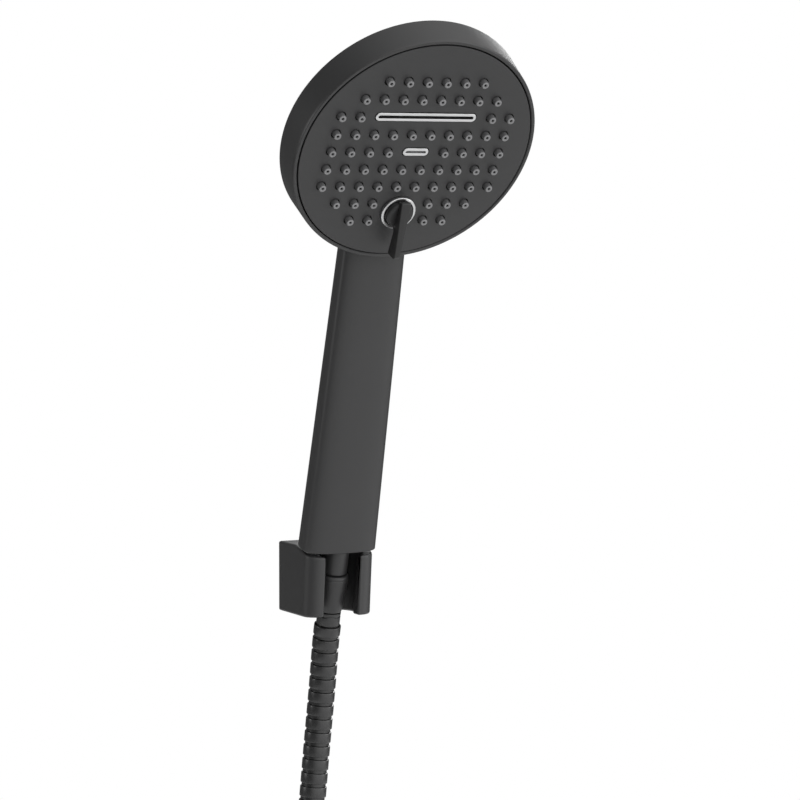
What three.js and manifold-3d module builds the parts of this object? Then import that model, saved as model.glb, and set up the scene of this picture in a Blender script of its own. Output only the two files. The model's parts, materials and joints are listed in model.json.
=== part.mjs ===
// Handheld shower head on its wall bracket, with a metal hose.
// Millimetres, +Z up. The wall is the plane y = 0, the room is towards -Y, and x = 0 is the plane
// of symmetry. The origin is the middle of the bracket's wall face.

import * as THREE from 'three';
import { mergeVertices } from 'three/addons/utils/BufferGeometryUtils.js';
import Module from 'manifold-3d';

const wasm = await Module();
wasm.setup();

const RAD = Math.PI / 180;
const GAP = 0.3; // clearance between neighbouring pieces

// ---------------------------------------------------------------- driving dimensions

const bracket = {
  halfWidth: 17.9, top: 18, bottom: -16.5, depth: 36.55, cornerRadius: 6.9, seatDrop: 1.5,
  lean: 0.00277, boreRadius: 12, slotHalfWidth: 9, screwZ: [8, -8],
};
const screw = { headRadius: 3.8, shankRadius: 1.9, length: 30, headY: -7.5, headDepth: 2.4 };
const plug = { radius: 3, length: 22, from: 0.4, recess: 1.2 };

// The handset's own frame: z up along the handle, y towards the wall, origin at the handle's foot.
const handset = { foot: [0, -29.8, 16.8], lean: 15.07 * RAD };
const handle = {
  footHalfWidth: 18.9, headHalfWidth: 15.9, headAt: 150, front: 9, back: 11.9,
  frontPower: 4.5, backPower: 2.8, wall: 2.6, tipAt: 208, floor: 4,
};

// The head's own frame: y runs from the nozzle tips back into the head, z up in the face plane.
const head = { centre: [0, -118, 206.4], lean: 34.87 * RAD };
const pitch = 9.5; // spacing of the nozzles
const disc = { radius: 59.95, rimRadius: 59.5, plateY: 2.55, backY: 19.2, wall: 2.2, backWall: 2.4 };
const plate = { radius: 57.2, thickness: 2.2 };
const mat = { radius: 55, front: 5.05, back: 7.05 };
const divider = { radius: 56.6, front: 7.35, back: 10.35 };
const nozzle = { tipRadius: 1.7, baseRadius: 1.95, holeRadius: 2.6, sides: 5 };
const slots = {
  long: { z: 2 * pitch, length: 51, width: 4.4 },
  short: { z: 0, length: 13, width: 4.1 },
  rim: 1.43, proud: 0.35,
};
const knob = {
  z: -3.5 * pitch, ringRadius: 8.6, ringWidth: 1.5, ringFront: 0.7, capRadius: 6.7, capFront: -1.2,
  shaftRadius: 3.2, rotorRadius: 9, finWidth: 4.9, finTop: 8.7, finTip: -20.4, finTipShare: 0.53,
};

const neck = { radius: 6.4, length: 14.5, spigotRadius: 5.9, threadRadius: 4.6, threadEnd: -24, bore: 3,
  socketRadius: 5, socketFrom: 11, top: 19 };
const nut = { top: -15.3, bottom: -33.6, topRadius: 7.45, bottomRadius: 5.9 };
const ferrule = { top: -34, bottom: -39.7, radius: 5.8, stem: 3.6, flange: 4.5, bore: 2.2 };
const tube = { radius: 4.7, bore: 3.6, from: 14.3, to: 148 };

const hose = { radius: 6.65, start: -40, coilRadius: 69, coilZ: -262, coilY: -9.2, coilPitch: 14.2,
  turns: 3, tail: 48 };
const endNut = { radius: 13.5, top: -17, bottom: -31, threadRadius: 9.6, lip: -20.5, lipRadius: 6.2 };
const tie = { width: 14, wall: 1.3, clearance: 0.75 };

// Hose route below its upper ferrule, to the coil's left side. Chosen by hand.
const stretch = [
  [0, -18.6, -24.6], [-0.1, -14.6, -45], [-0.8, -12.1, -65], [-2.1, -10.6, -85], [-3.5, -10, -103],
  [-5.4, -9.6, -121], [-9.6, -9.3, -138], [-17.2, -9.2, -155], [-28.4, -9.2, -172],
  [-41, -9.2, -188], [-52.6, -9.2, -205], [-61.4, -9.2, -224], [-67, -9.2, -244],
];

// ---------------------------------------------------------------- materials

const finish = (color, roughness, metalness) =>
  new THREE.MeshStandardMaterial({ color, roughness, metalness });
const black = () => finish(0x2b2b2c, 0.5, 0);
const blackInside = () => finish(0x303234, 0.6, 0);
const silicone = () => finish(0x55585a, 0.7, 0);
const silver = () => finish(0xc8cacc, 0.3, 0.9);
const blackMetal = () => finish(0x26272a, 0.4, 0.8);
const steel = () => finish(0xa8abae, 0.35, 0.9);
const rubber = () => finish(0x1c1c1c, 0.85, 0);
const plugPlastic = () => finish(0x8d9299, 0.7, 0);

// ---------------------------------------------------------------- geometry helpers

// Closed, indexed and outward-facing copy of a geometry, with zero-area triangles dropped.
function closed(geometry) {
  const bare = geometry.clone();
  for (const name of Object.keys(bare.attributes)) {
    if (name !== 'position') bare.deleteAttribute(name);
  }
  const merged = mergeVertices(bare, 1e-4);
  const position = merged.attributes.position;
  const corners = merged.index.array;
  const kept = [];
  const [a, b, c] = [new THREE.Vector3(), new THREE.Vector3(), new THREE.Vector3()];
  let volume = 0;
  for (let i = 0; i < corners.length; i += 3) {
    const [p, q, r] = corners.slice(i, i + 3);
    if (p === q || q === r || p === r) continue;
    a.fromBufferAttribute(position, p);
    b.fromBufferAttribute(position, q);
    c.fromBufferAttribute(position, r);
    volume += a.dot(b.cross(c));
    kept.push(p, q, r);
  }
  if (volume < 0) {
    for (let i = 0; i < kept.length; i += 3) [kept[i], kept[i + 1]] = [kept[i + 1], kept[i]];
  }
  const result = new THREE.BufferGeometry();
  result.setAttribute('position', position);
  result.setIndex(kept);
  return result;
}

function solid(geometry) {
  const body = closed(geometry);
  return new wasm.Manifold(new wasm.Mesh({
    numProp: 3,
    vertProperties: new Float32Array(body.attributes.position.array),
    triVerts: new Uint32Array(body.index.array),
  }));
}

function geometryOf(manifold) {
  const mesh = manifold.getMesh();
  const geometry = new THREE.BufferGeometry();
  geometry.setAttribute('position', new THREE.BufferAttribute(new Float32Array(mesh.vertProperties), 3));
  geometry.setIndex(Array.from(mesh.triVerts));
  return geometry;
}

function cut(geometry, ...tools) {
  let body = solid(geometry);
  for (const tool of tools) body = body.subtract(solid(tool));
  return geometryOf(body);
}

function join(geometry, ...others) {
  let body = solid(geometry);
  for (const other of others) body = body.add(solid(other));
  return geometryOf(body);
}

function common(geometry, other) {
  return geometryOf(solid(geometry).intersect(solid(other)));
}

// Solid of revolution about y from [radius, y] pairs.
function turned(profile, sides = 24) {
  return closed(new THREE.LatheGeometry(profile.map(([r, y]) => new THREE.Vector2(r, y)), sides));
}

// The same about z.
function turnedZ(profile, sides = 24) {
  return turned(profile, sides).rotateX(Math.PI / 2);
}

// Tube or disc with a hole, about y.
function ring(inner, outer, low, high, sides = 20) {
  return turned([[inner, low], [outer, low], [outer, high], [inner, high], [inner, low]], sides);
}

function ringZ(inner, outer, low, high, sides = 20) {
  return ring(inner, outer, low, high, sides).rotateX(Math.PI / 2);
}

function rod(radius, low, high, sides = 20) {
  return turned([[0, low], [radius, low], [radius, high], [0, high]], sides);
}

function rodZ(radius, low, high, sides = 20) {
  return rod(radius, low, high, sides).rotateX(Math.PI / 2);
}

function torus(major, minor, y, sides = 20) {
  const profile = [];
  for (let i = 0; i < 6; i++) {
    const a = (i / 6) * 2 * Math.PI;
    profile.push([major + minor * Math.cos(a), y + minor * Math.sin(a)]);
  }
  profile.push(profile[0]);
  return turned(profile, sides);
}

// Outline in the face plane (x, z) made into a slab between two depths y.
function slab(shape, front, back) {
  const options = { depth: back - front, bevelEnabled: false, curveSegments: 5 };
  const geometry = new THREE.ExtrudeGeometry(shape, options);
  return geometry.rotateX(Math.PI / 2).translate(0, back, 0);
}

function polygonPath(x, z, radius, sides, PathClass = THREE.Path) {
  const path = new PathClass();
  for (let i = 0; i < sides; i++) {
    const a = (i / sides) * 2 * Math.PI;
    const [px, pz] = [x + radius * Math.cos(a), z + radius * Math.sin(a)];
    if (i === 0) path.moveTo(px, pz);
    else path.lineTo(px, pz);
  }
  path.closePath();
  return path;
}

// Slot outline with round ends, centred on (0, z).
function stadium(z, length, width, PathClass = THREE.Shape) {
  const r = width / 2;
  const half = length / 2 - r;
  const path = new PathClass();
  path.moveTo(-half, z - r);
  path.lineTo(half, z - r);
  path.absarc(half, z, r, -Math.PI / 2, Math.PI / 2, false);
  path.lineTo(-half, z + r);
  path.absarc(-half, z, r, Math.PI / 2, Math.PI * 1.5, false);
  return path;
}

function sweep(points, radius, steps, sides = 10) {
  const curve = new THREE.CatmullRomCurve3(points, false, 'centripetal');
  const section = polygonPath(0, 0, radius, sides, THREE.Shape);
  return new THREE.ExtrudeGeometry(section, { steps, bevelEnabled: false, extrudePath: curve });
}

function node(parent, name, geometry, material, place) {
  const mesh = new THREE.Mesh(geometry, material);
  mesh.name = name;
  if (place) mesh.applyMatrix4(place);
  parent.add(mesh);
  return mesh;
}

// ---------------------------------------------------------------- frames

const root = new THREE.Group();
const handsetGroup = new THREE.Group();
handsetGroup.position.set(...handset.foot);
handsetGroup.rotation.x = handset.lean;
root.add(handsetGroup);
handsetGroup.updateMatrixWorld(true);

const headGroup = new THREE.Group();
headGroup.position.set(...head.centre);
headGroup.rotation.x = head.lean;
root.add(headGroup);
headGroup.updateMatrixWorld(true);

const headInHandset = handsetGroup.matrixWorld.clone().invert().multiply(headGroup.matrixWorld);
const inHandset = (geometry) => geometry.clone().applyMatrix4(headInHandset);
const tilt = head.lean - handset.lean;

// ---------------------------------------------------------------- bracket

// Plan outline: flat at the wall, straight sides, front corners rounded. It is drawn out in z, and
// its depth grows a little with height, so the front leans out.
function bracketBlock() {
  const { halfWidth: w, depth, cornerRadius: r, top, bottom, lean } = bracket;
  const plan = new THREE.Shape();
  plan.moveTo(-w, 0);
  plan.lineTo(-w, -depth + r);
  plan.absarc(-w + r, -depth + r, r, Math.PI, Math.PI * 1.5, false);
  plan.lineTo(w - r, -depth);
  plan.absarc(w - r, -depth + r, r, -Math.PI / 2, 0, false);
  plan.lineTo(w, 0);
  plan.closePath();
  const options = { depth: top - bottom, bevelEnabled: false, curveSegments: 8 };
  const block = new THREE.ExtrudeGeometry(plan, options);
  block.translate(0, 0, bottom);
  const position = block.attributes.position;
  for (let i = 0; i < position.count; i++) {
    position.setY(i, position.getY(i) * (1 + lean * position.getZ(i)));
  }
  return block;
}

function bracketSolid() {
  const { boreRadius, slotHalfWidth, screwZ, seatDrop } = bracket;
  const place = handsetGroup.matrixWorld;
  const seat = new THREE.BoxGeometry(80, 80, 40).translate(0, -20, 20 - seatDrop).applyMatrix4(place);
  const bore = rodZ(boreRadius, -60, 20, 40).applyMatrix4(place);
  const slot = new THREE.BoxGeometry(2 * slotHalfWidth, 40, 90).translate(0, -20, -10).applyMatrix4(place);
  const tools = [seat, bore, slot];
  for (const z of screwZ) {
    tools.push(rod(screw.headRadius + 0.5, -24, screw.headY, 20).translate(0, 0, z));
    tools.push(rod(screw.shankRadius + GAP, -20, 5, 16).translate(0, 0, z));
    tools.push(rod(plug.radius + 2 * GAP, -plug.recess, 5, 20).translate(0, 0, z));
    const sink = turned([[0, screw.headY - 1], [screw.headRadius + 0.5, screw.headY - 1],
      [screw.headRadius + 0.5, screw.headY], [screw.shankRadius + GAP, screw.headY + screw.headDepth + 0.4],
      [0, screw.headY + screw.headDepth + 0.4]], 20);
    tools.push(sink.translate(0, 0, z));
  }
  return cut(bracketBlock(), ...tools);
}

// Countersunk cross-head screw along y, driven towards the wall.
function wallScrew(z) {
  const { headRadius, shankRadius, length, headY, headDepth } = screw;
  const body = turned([[0, headY], [headRadius, headY], [shankRadius, headY + headDepth],
    [shankRadius, headY + length - 4], [0, headY + length]], 20);
  const blade = new THREE.BoxGeometry(4.2, 3, 1).translate(0, headY, 0);
  const cross = new THREE.BoxGeometry(1, 3, 4.2).translate(0, headY, 0);
  return cut(body, blade, cross).translate(0, 0, z);
}

function wallPlug(z) {
  const { radius, length, from } = plug;
  const sleeve = ring(screw.shankRadius + GAP / 2, radius, from, length, 16);
  return sleeve.translate(0, 0, z);
}

node(root, 'wall_bracket', bracketSolid(), black());
['upper', 'lower'].forEach((place, i) => {
  node(root, `wall_screw_${place}`, wallScrew(bracket.screwZ[i]), steel());
  node(root, `wall_plug_${place}`, wallPlug(bracket.screwZ[i]), plugPlastic());
});

// ---------------------------------------------------------------- handset shell

// Handle section: half a superellipse in front and a rounder, deeper one behind, listed once round.
function handleSection(count) {
  const points = [];
  for (let i = 0; i < count; i++) {
    const a = (i / count) * 2 * Math.PI;
    const [c, s] = [Math.cos(a), Math.sin(a)];
    const power = s < 0 ? handle.frontPower : handle.backPower;
    const x = Math.sign(c) * Math.abs(c) ** (2 / power);
    const y = Math.sign(s) * Math.abs(s) ** (2 / power);
    points.push(new THREE.Vector2(x, y));
  }
  return new THREE.Shape(points);
}

// Height of the handle's axis behind the nozzle tips, at a distance up the handle.
function axisDepth(up) {
  const foot = new THREE.Vector3(0, 0, up).applyMatrix4(headInHandset.clone().invert());
  return foot.y;
}

// Half width, front and back of the handle at a distance up it. Above the head's lower edge the
// back swells over the head and closes on its back face.
function handleSize(up) {
  const { footHalfWidth, headHalfWidth, headAt, tipAt } = handle;
  const scale = 1 + (headHalfWidth / footHalfWidth - 1) * (Math.min(up, tipAt) / headAt);
  let half = footHalfWidth * scale;
  let front = -handle.front * scale;
  let back = handle.back * scale;
  if (up > headAt) {
    const axis = axisDepth(up);
    const across = Math.cos(tilt);
    const t = (up - headAt) / (tipAt - headAt);
    const start = axisDepth(headAt) + back * across;
    const rise = Math.tan(tilt) * (tipAt - headAt);
    const end = disc.backY - 0.8;
    const blend = start * (1 - t) ** 2 * (1 + 2 * t) + rise * t * (1 - t) ** 2
      + end * t * t * (3 - 2 * t) + 16 * t * t * (1 - t);
    back = (blend - axis) / across;
    front = (Math.min(axis + front * across, disc.backY - 4) - axis) / across;
    half *= Math.sqrt(Math.max(0, 1 - Math.max(0, (t - 0.2) / 0.82) ** 2.4));
  }
  return { half, front, back };
}

function handleLoft(from, to, inset, count = 32, steps = 18) {
  const loft = new THREE.ExtrudeGeometry(handleSection(count), { depth: 1, steps, bevelEnabled: false });
  const position = loft.attributes.position;
  for (let i = 0; i < position.count; i++) {
    const up = from + (to - from) * position.getZ(i);
    const { half, front, back } = handleSize(up);
    const middle = back - (handle.back / (handle.back + handle.front)) * (back - front);
    const [x, y] = [position.getX(i), position.getY(i)];
    const reach = y < 0 ? middle - front - inset : back - middle - inset;
    position.setXYZ(i, x * (half - inset), middle + y * reach, up);
  }
  return loft;
}

// Head and handle in one moulding: a shallow cup for the spray parts, open to the hollow handle.
function shellSolid() {
  const { radius, rimRadius, plateY, backY, wall, backWall } = disc;
  const bowl = turned([[0, plateY], [rimRadius - 0.4, plateY], [rimRadius, plateY + 0.4],
    [radius, backY - 1.2], [radius - 1.2, backY], [0, backY]], 56);
  const outside = join(inHandset(bowl), handleLoft(0, handle.tipAt, 0));
  const cup = rod(radius - wall, -5, backY - backWall, 48);
  const hollow = handleLoft(handle.floor, 168, handle.wall, 20, 6);
  const neckHole = rodZ(neck.radius + GAP, -5, handle.floor + 1);
  const hollowed = cut(outside, inHandset(cup), hollow, neckHole);
  let body = solid(hollowed);
  for (const [x, z] of screwPosts) {
    const post = ring(1, 3.4, divider.back + GAP, backY - backWall + 0.5, 10).translate(x, 0, z);
    body = body.add(solid(inHandset(post)));
  }
  return geometryOf(body);
}

const screwPosts = [90, 210, 330].map((a) => [48 * Math.cos(a * RAD), 48 * Math.sin(a * RAD)]);
node(handsetGroup, 'handset_shell', shellSolid(), black());

// ---------------------------------------------------------------- spray face

// Nozzle rows from top to bottom: row height in pitches, then the columns on the right half.
const nozzleRows = [
  [4, 0.5, 2.5], [3, 0.5, 3.5], [2, 3.5, 4.5], [1, 0.5, 4.5], [0, 1.5, 4.5],
  [-1, 0.5, 4.5], [-2, 0.5, 4.5], [-3, 1.5, 3.5], [-4, 1.5, 2.5],
];

function nozzlePlaces() {
  const places = [];
  for (const [row, first, last] of nozzleRows) {
    for (let column = first; column <= last; column++) {
      places.push([column * pitch, row * pitch], [-column * pitch, row * pitch]);
    }
  }
  return places;
}

function roundPlate(radius, front, back, holes) {
  const outline = polygonPath(0, 0, radius, 48, THREE.Shape);
  outline.holes.push(...holes);
  return slab(outline, front, back);
}

function slotHoles() {
  return [slots.long, slots.short].map(({ z, length, width }) => (
    stadium(z, length + 2 * GAP, width + 2 * GAP, THREE.Path)));
}

function facePlate() {
  const holes = nozzlePlaces().map(([x, z]) => polygonPath(x, z, nozzle.holeRadius, nozzle.sides));
  holes.push(...slotHoles(), polygonPath(0, knob.z, knob.shaftRadius + GAP, 20));
  return roundPlate(plate.radius, disc.plateY, disc.plateY + plate.thickness, holes);
}

function nozzleMat() {
  const holes = [...slotHoles(), polygonPath(0, knob.z, knob.shaftRadius + 1.8, 20)];
  let body = solid(roundPlate(mat.radius, mat.front, mat.back, holes));
  const height = mat.front + 0.5;
  for (const [x, z] of nozzlePlaces()) {
    const teat = new THREE.CylinderGeometry(nozzle.baseRadius, nozzle.tipRadius, height, nozzle.sides);
    body = body.add(solid(teat.rotateY(Math.PI / 2).translate(x, height / 2, z)));
  }
  return geometryOf(body);
}

// Plated mouthpiece of a flat spray: a round-ended ring round a narrow slit.
function slotInsert({ z, length, width }) {
  const outline = stadium(z, length, width);
  outline.holes.push(stadium(z, length - 2 * slots.rim, width - 2 * slots.rim, THREE.Path));
  return slab(outline, disc.plateY - slots.proud, mat.back + 0.1);
}

const portRadius = 5.8;
const portAngles = [54, 90, 126];

function waterDivider() {
  const { radius, front, back } = divider;
  const body = turned([[0, front], [radius, front], [radius, front + 0.8], [radius - 1.2, front + 0.8],
    [radius - 1.2, front + 2.4], [radius, front + 2.4], [radius, back], [0, back]], 48);
  const tools = [
    rod(knob.shaftRadius + GAP, front - 1, back + 1).translate(0, 0, knob.z),
    rod(knob.shaftRadius + 1.5, front - 1, front + 1.6).translate(0, 0, knob.z),
  ];
  for (const angle of portAngles) {
    const [x, z] = [portRadius * Math.cos(angle * RAD), portRadius * Math.sin(angle * RAD)];
    tools.push(rod(1.3, front - 1, back + 1, 12).translate(x, 0, knob.z + z));
  }
  for (const [x, z] of screwPosts) {
    tools.push(rod(1.3, front - 1, back + 1, 12).translate(x, 0, z));
    tools.push(rod(2.8, front - 1, front + 1.9, 14).translate(x, 0, z));
  }
  return cut(body, ...tools);
}

function panScrew(x, z, headFront, headRadius, headHeight, shankRadius, tip) {
  const step = Math.sign(tip - headFront) * headHeight;
  return turned([[0, headFront], [headRadius, headFront], [headRadius, headFront + step],
    [shankRadius, headFront + step], [shankRadius, tip], [0, tip]], 14).translate(x, 0, z);
}

node(headGroup, 'face_plate', facePlate(), black());
node(headGroup, 'nozzle_mat', nozzleMat(), silicone());
node(headGroup, 'long_slot_insert', slotInsert(slots.long), silver());
node(headGroup, 'short_slot_insert', slotInsert(slots.short), silver());
node(headGroup, 'water_divider', waterDivider(), blackInside());
node(headGroup, 'divider_seal', torus(divider.radius - 0.1, 0.65, divider.front + 1.6, 40), rubber());
screwPosts.forEach(([x, z], i) => {
  const screw = panScrew(x, z, divider.front + 0.3, 2.4, 1.3, 0.85, 15.5);
  node(headGroup, `divider_screw_${i + 1}`, screw, steel());
});

// ---------------------------------------------------------------- diverter

// Lever outline in the plane x = 0: distance up the face from the knob's centre, height above the
// plate. The fin rises from the cap towards its free lower end, clear of the nozzles.
function leverSolid() {
  const fin = new THREE.Shape();
  fin.moveTo(6.2, 1);
  fin.lineTo(8.6, 4.8);
  fin.quadraticCurveTo(9.2, 6.3, 7.8, 6.5);
  fin.lineTo(-16.2, 12.2);
  fin.quadraticCurveTo(-18.8, 12.7, -19.4, 10.6);
  fin.lineTo(-20.3, 5.2);
  fin.quadraticCurveTo(-20.4, 4.7, -19.8, 4.65);
  fin.lineTo(-7.4, 4.65);
  fin.lineTo(-6.2, 1);
  fin.closePath();
  const half = knob.finWidth / 2;
  const blade = new THREE.ExtrudeGeometry(fin, { depth: 2 * half, bevelEnabled: false, curveSegments: 6 });
  // Shape x becomes z (up the face), shape y becomes -y (out of the face), depth becomes x.
  const turn = new THREE.Matrix4().makeBasis(
    new THREE.Vector3(0, 0, 1), new THREE.Vector3(0, -1, 0), new THREE.Vector3(1, 0, 0));
  blade.applyMatrix4(turn).translate(-half, disc.plateY, 0);
  // The fin narrows evenly towards its free end.
  const position = blade.attributes.position;
  for (let i = 0; i < position.count; i++) {
    const along = (knob.finTop - position.getZ(i)) / (knob.finTop - knob.finTip);
    position.setX(i, position.getX(i) * (1 + (knob.finTipShare - 1) * along));
  }
  const cap = rod(knob.capRadius, knob.capFront, disc.plateY - GAP, 28);
  const screwHole = rod(1.25, -1.2, disc.plateY + 1, 12);
  return cut(join(cap, blade), screwHole).translate(0, 0, knob.z);
}

function knobRing() {
  const { ringRadius, ringWidth, ringFront } = knob;
  return ring(ringRadius - ringWidth, ringRadius, ringFront, disc.plateY - GAP, 36).translate(0, 0, knob.z);
}

// Disc that opens one port at a time, with the shaft that carries the lever.
function rotorSolid() {
  const { shaftRadius, rotorRadius } = knob;
  const body = turned([[1.3, 2.55], [shaftRadius, 2.55], [shaftRadius, divider.back + GAP],
    [rotorRadius, divider.back + GAP], [rotorRadius, 13.5], [1.3, 13.5], [1.3, 2.55]], 28);
  const port = rod(1.3, 9, 15, 12).translate(0, 0, portRadius);
  const pocket = rod(2.4, 9, 12.1, 14).translate(0, 0, portRadius);
  return cut(body, port, pocket).translate(0, 0, knob.z);
}

const knobPlace = new THREE.Matrix4().makeTranslation(0, 0, knob.z);
node(headGroup, 'diverter_lever', leverSolid(), black());
node(headGroup, 'knob_ring', knobRing(), silver());
node(headGroup, 'diverter_rotor', rotorSolid(), blackInside());
node(headGroup, 'port_seal', ring(1.2, 2.1, 10.5, 11.8, 14).translate(0, 0, portRadius), rubber(), knobPlace);
node(headGroup, 'shaft_seal', torus(3.95, 0.5, divider.front + 0.8, 20), rubber(), knobPlace);
node(headGroup, 'lever_screw', panScrew(0, 0, 15.2, 2.6, 1.4, 1, -0.6), steel(), knobPlace);

// ---------------------------------------------------------------- water way in the handle

function inletNeck() {
  const { radius, length, spigotRadius, threadRadius, threadEnd, bore, socketRadius, socketFrom, top } = neck;
  const grooveRadius = radius - 0.8;
  const body = turnedZ([[bore, threadEnd], [threadRadius, threadEnd], [threadRadius, -length],
    [radius, -length], [radius, 1.2], [grooveRadius, 1.2], [grooveRadius, 2.6], [radius, 2.6], [radius, 3.6],
    [spigotRadius, 4.4], [spigotRadius, top], [socketRadius, top], [socketRadius, socketFrom],
    [bore, socketFrom], [bore, threadEnd]], 24);
  const flange = cut(handleLoft(4.3, 7.3, handle.wall + GAP, 24, 1), rodZ(bore + 1, 0, 10, 12));
  return join(body, flange);
}

node(handsetGroup, 'inlet_neck', inletNeck(), black());
node(handsetGroup, 'neck_seal', torus(6.1, 0.4, 0, 24).rotateX(Math.PI / 2).translate(0, 0, 1.9), rubber());
node(handsetGroup, 'flow_limiter', ringZ(1.2, neck.socketRadius - GAP, 11.3, 14, 20), silicone());
node(handsetGroup, 'water_tube', ringZ(tube.bore, tube.radius, tube.from, tube.to, 20), blackInside());

// ---------------------------------------------------------------- hose connection

function coneNut() {
  const { top, bottom, topRadius, bottomRadius } = nut;
  const inside = neck.threadRadius + GAP;
  return turnedZ([[inside, top], [topRadius - 0.5, top], [topRadius, top - 0.6], [topRadius, top - 2.4],
    [bottomRadius + 0.5, bottom + 4], [bottomRadius, bottom], [ferrule.stem + GAP, bottom],
    [ferrule.stem + GAP, -31], [inside, -31], [inside, top]], 28);
}

function hoseTail() {
  const { top, bottom, radius, stem, flange, bore } = ferrule;
  return turnedZ([[bore, -27.4], [flange, -27.4], [flange, -30.7], [stem, -30.7], [stem, top], [radius, top],
    [radius, bottom], [bore, bottom], [bore, -27.4]], 24);
}

node(handsetGroup, 'cone_nut', coneNut(), black());
node(handsetGroup, 'filter_washer', ringZ(ferrule.bore, 4.4, -27.1, -24.3, 20), rubber());
node(handsetGroup, 'hose_tail_upper', hoseTail(), blackMetal());

// ---------------------------------------------------------------- hose

// The first stretch follows the route above. The rest is wound into a coil of three turns that
// hangs in a plane along the wall, and the end hangs straight down from the coil's left side.
const { coilRadius, coilY, coilZ, coilPitch, turns } = hose;
const coilEndY = coilY - coilPitch * turns;
const hoseStart = new THREE.Vector3(0, 0, hose.start).applyMatrix4(handsetGroup.matrixWorld);
const coilStart = new THREE.Vector3(-coilRadius, coilY, coilZ);

function coilRing(clearance) {
  const half = hose.radius + 0.3 + clearance;
  const [low, high] = [coilEndY - half, coilY + half];
  const [inner, outer] = [coilRadius - half, coilRadius + half];
  const c = 3;
  const profile = [[inner, low + c], [inner + c, low], [outer - c, low], [outer, low + c], [outer, high - c],
    [outer - c, high], [inner + c, high], [inner, high - c], [inner, low + c]];
  return turned(profile, 40).translate(0, 0, coilZ);
}

const stretchPoints = [hoseStart, ...stretch.map((p) => new THREE.Vector3(...p)), coilStart];
const tailPoints = [0, 0.5, 1].map((t) => new THREE.Vector3(-coilRadius, coilEndY, coilZ - t * hose.tail));
node(root, 'hose_tube', cut(sweep(stretchPoints, hose.radius, 18), coilRing(GAP)), blackMetal());
node(root, 'hose_coil', coilRing(0), blackMetal());
node(root, 'hose_end_tube', cut(sweep(tailPoints, hose.radius, 3), coilRing(GAP)), blackMetal());

// Strap round the bundle of turns where it crosses the coil's top or bottom.
function coilTie(side) {
  const radial = hose.radius + 0.3 + tie.clearance;
  const width = coilY - coilEndY + 2 * (hose.radius + 0.3) + 2 * GAP;
  const middle = (coilY + coilEndY) / 2;
  const band = new THREE.BoxGeometry(tie.width, width + 2 * tie.wall, 2 * (radial + tie.wall));
  const inside = new THREE.BoxGeometry(tie.width + 2, width, 2 * radial);
  return cut(band, inside).translate(0, middle, coilZ + side * coilRadius);
}

node(root, 'coil_tie_top', coilTie(1), rubber());
node(root, 'coil_tie_bottom', coilTie(-1), rubber());

// End fittings, in a frame at the hose's end with z up.
const endGroup = new THREE.Group();
endGroup.position.set(-coilRadius, coilEndY, coilZ - hose.tail);
root.add(endGroup);

function endTail() {
  return turnedZ([[4, -23.3], [9.1, -23.3], [9.1, -20.8], [5.8, -20.8], [5.8, -16], [7.1, -15.4],
    [7.1, -GAP], [4, -GAP], [4, -23.3]], 24);
}

function hexNut() {
  const { radius, top, bottom, threadRadius, lip, lipRadius } = endNut;
  const prism = new THREE.CylinderGeometry(radius, radius, top - bottom, 6);
  prism.rotateX(Math.PI / 2).translate(0, 0, (top + bottom) / 2);
  const hole = rodZ(lipRadius, bottom - 5, top + 5, 28);
  const socket = rodZ(threadRadius, bottom - 5, lip, 28);
  const round = turnedZ([[0, bottom - 1], [radius - 1.2, bottom - 1], [radius + 0.6, bottom + 2],
    [radius + 0.6, top - 2], [radius - 1.2, top + 1], [0, top + 1]], 24);
  return cut(common(prism, round), hole, socket);
}

node(endGroup, 'hose_tail_lower', endTail(), blackMetal());
node(endGroup, 'end_washer', ringZ(4.6, 9.1, -26.2, -23.6, 24), rubber());
node(endGroup, 'hex_nut', hexNut(), blackMetal());

export default root;
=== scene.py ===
"""Looks for a handheld shower head in its wall bracket, laid out as a Blender add-on and run as a script."""

import json
import math
import bmesh
import bpy
import numpy as np
from mathutils.geometry import delaunay_2d_cdt
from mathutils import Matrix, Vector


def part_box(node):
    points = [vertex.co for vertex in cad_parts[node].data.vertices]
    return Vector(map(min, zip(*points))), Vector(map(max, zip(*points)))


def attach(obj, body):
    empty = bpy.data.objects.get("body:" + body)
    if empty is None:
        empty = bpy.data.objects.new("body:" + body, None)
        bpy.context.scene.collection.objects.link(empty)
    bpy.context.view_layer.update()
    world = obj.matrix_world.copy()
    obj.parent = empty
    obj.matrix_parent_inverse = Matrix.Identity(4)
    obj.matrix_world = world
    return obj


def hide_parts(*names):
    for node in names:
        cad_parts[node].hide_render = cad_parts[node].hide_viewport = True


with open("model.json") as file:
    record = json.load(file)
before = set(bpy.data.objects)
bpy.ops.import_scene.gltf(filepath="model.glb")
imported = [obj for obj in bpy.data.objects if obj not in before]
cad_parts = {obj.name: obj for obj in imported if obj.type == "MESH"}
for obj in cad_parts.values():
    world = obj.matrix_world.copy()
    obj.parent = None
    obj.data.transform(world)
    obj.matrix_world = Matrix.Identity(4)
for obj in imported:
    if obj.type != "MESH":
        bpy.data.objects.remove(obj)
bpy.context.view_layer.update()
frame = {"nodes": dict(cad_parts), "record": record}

bl_info = {
    "name": "Handheld shower head",
    "version": (1, 0, 0),
    "blender": (4, 5, 0),
    "location": "View3D > Sidebar > Shower",
    "description": "Builds the visible surfaces and finishes of a handheld shower head round its CAD frame",
    "category": "Object",
}

MM = 0.001
TINY = 1e-9  # keeps a division from failing, in millimetres
SAME = 1e-6  # points nearer than this count as one

# ---------------------------------------------------------------- sizes in millimetres

HANDSET_LEAN = math.radians(15.07)
HEAD_LEAN = math.radians(34.87)
TUBE_MIDDLE = 81.15  # middle of the water tube, up the handset from its foot
PLATE_MIDDLE = 3.65  # middle of the face plate, behind the nozzle tips

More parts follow.
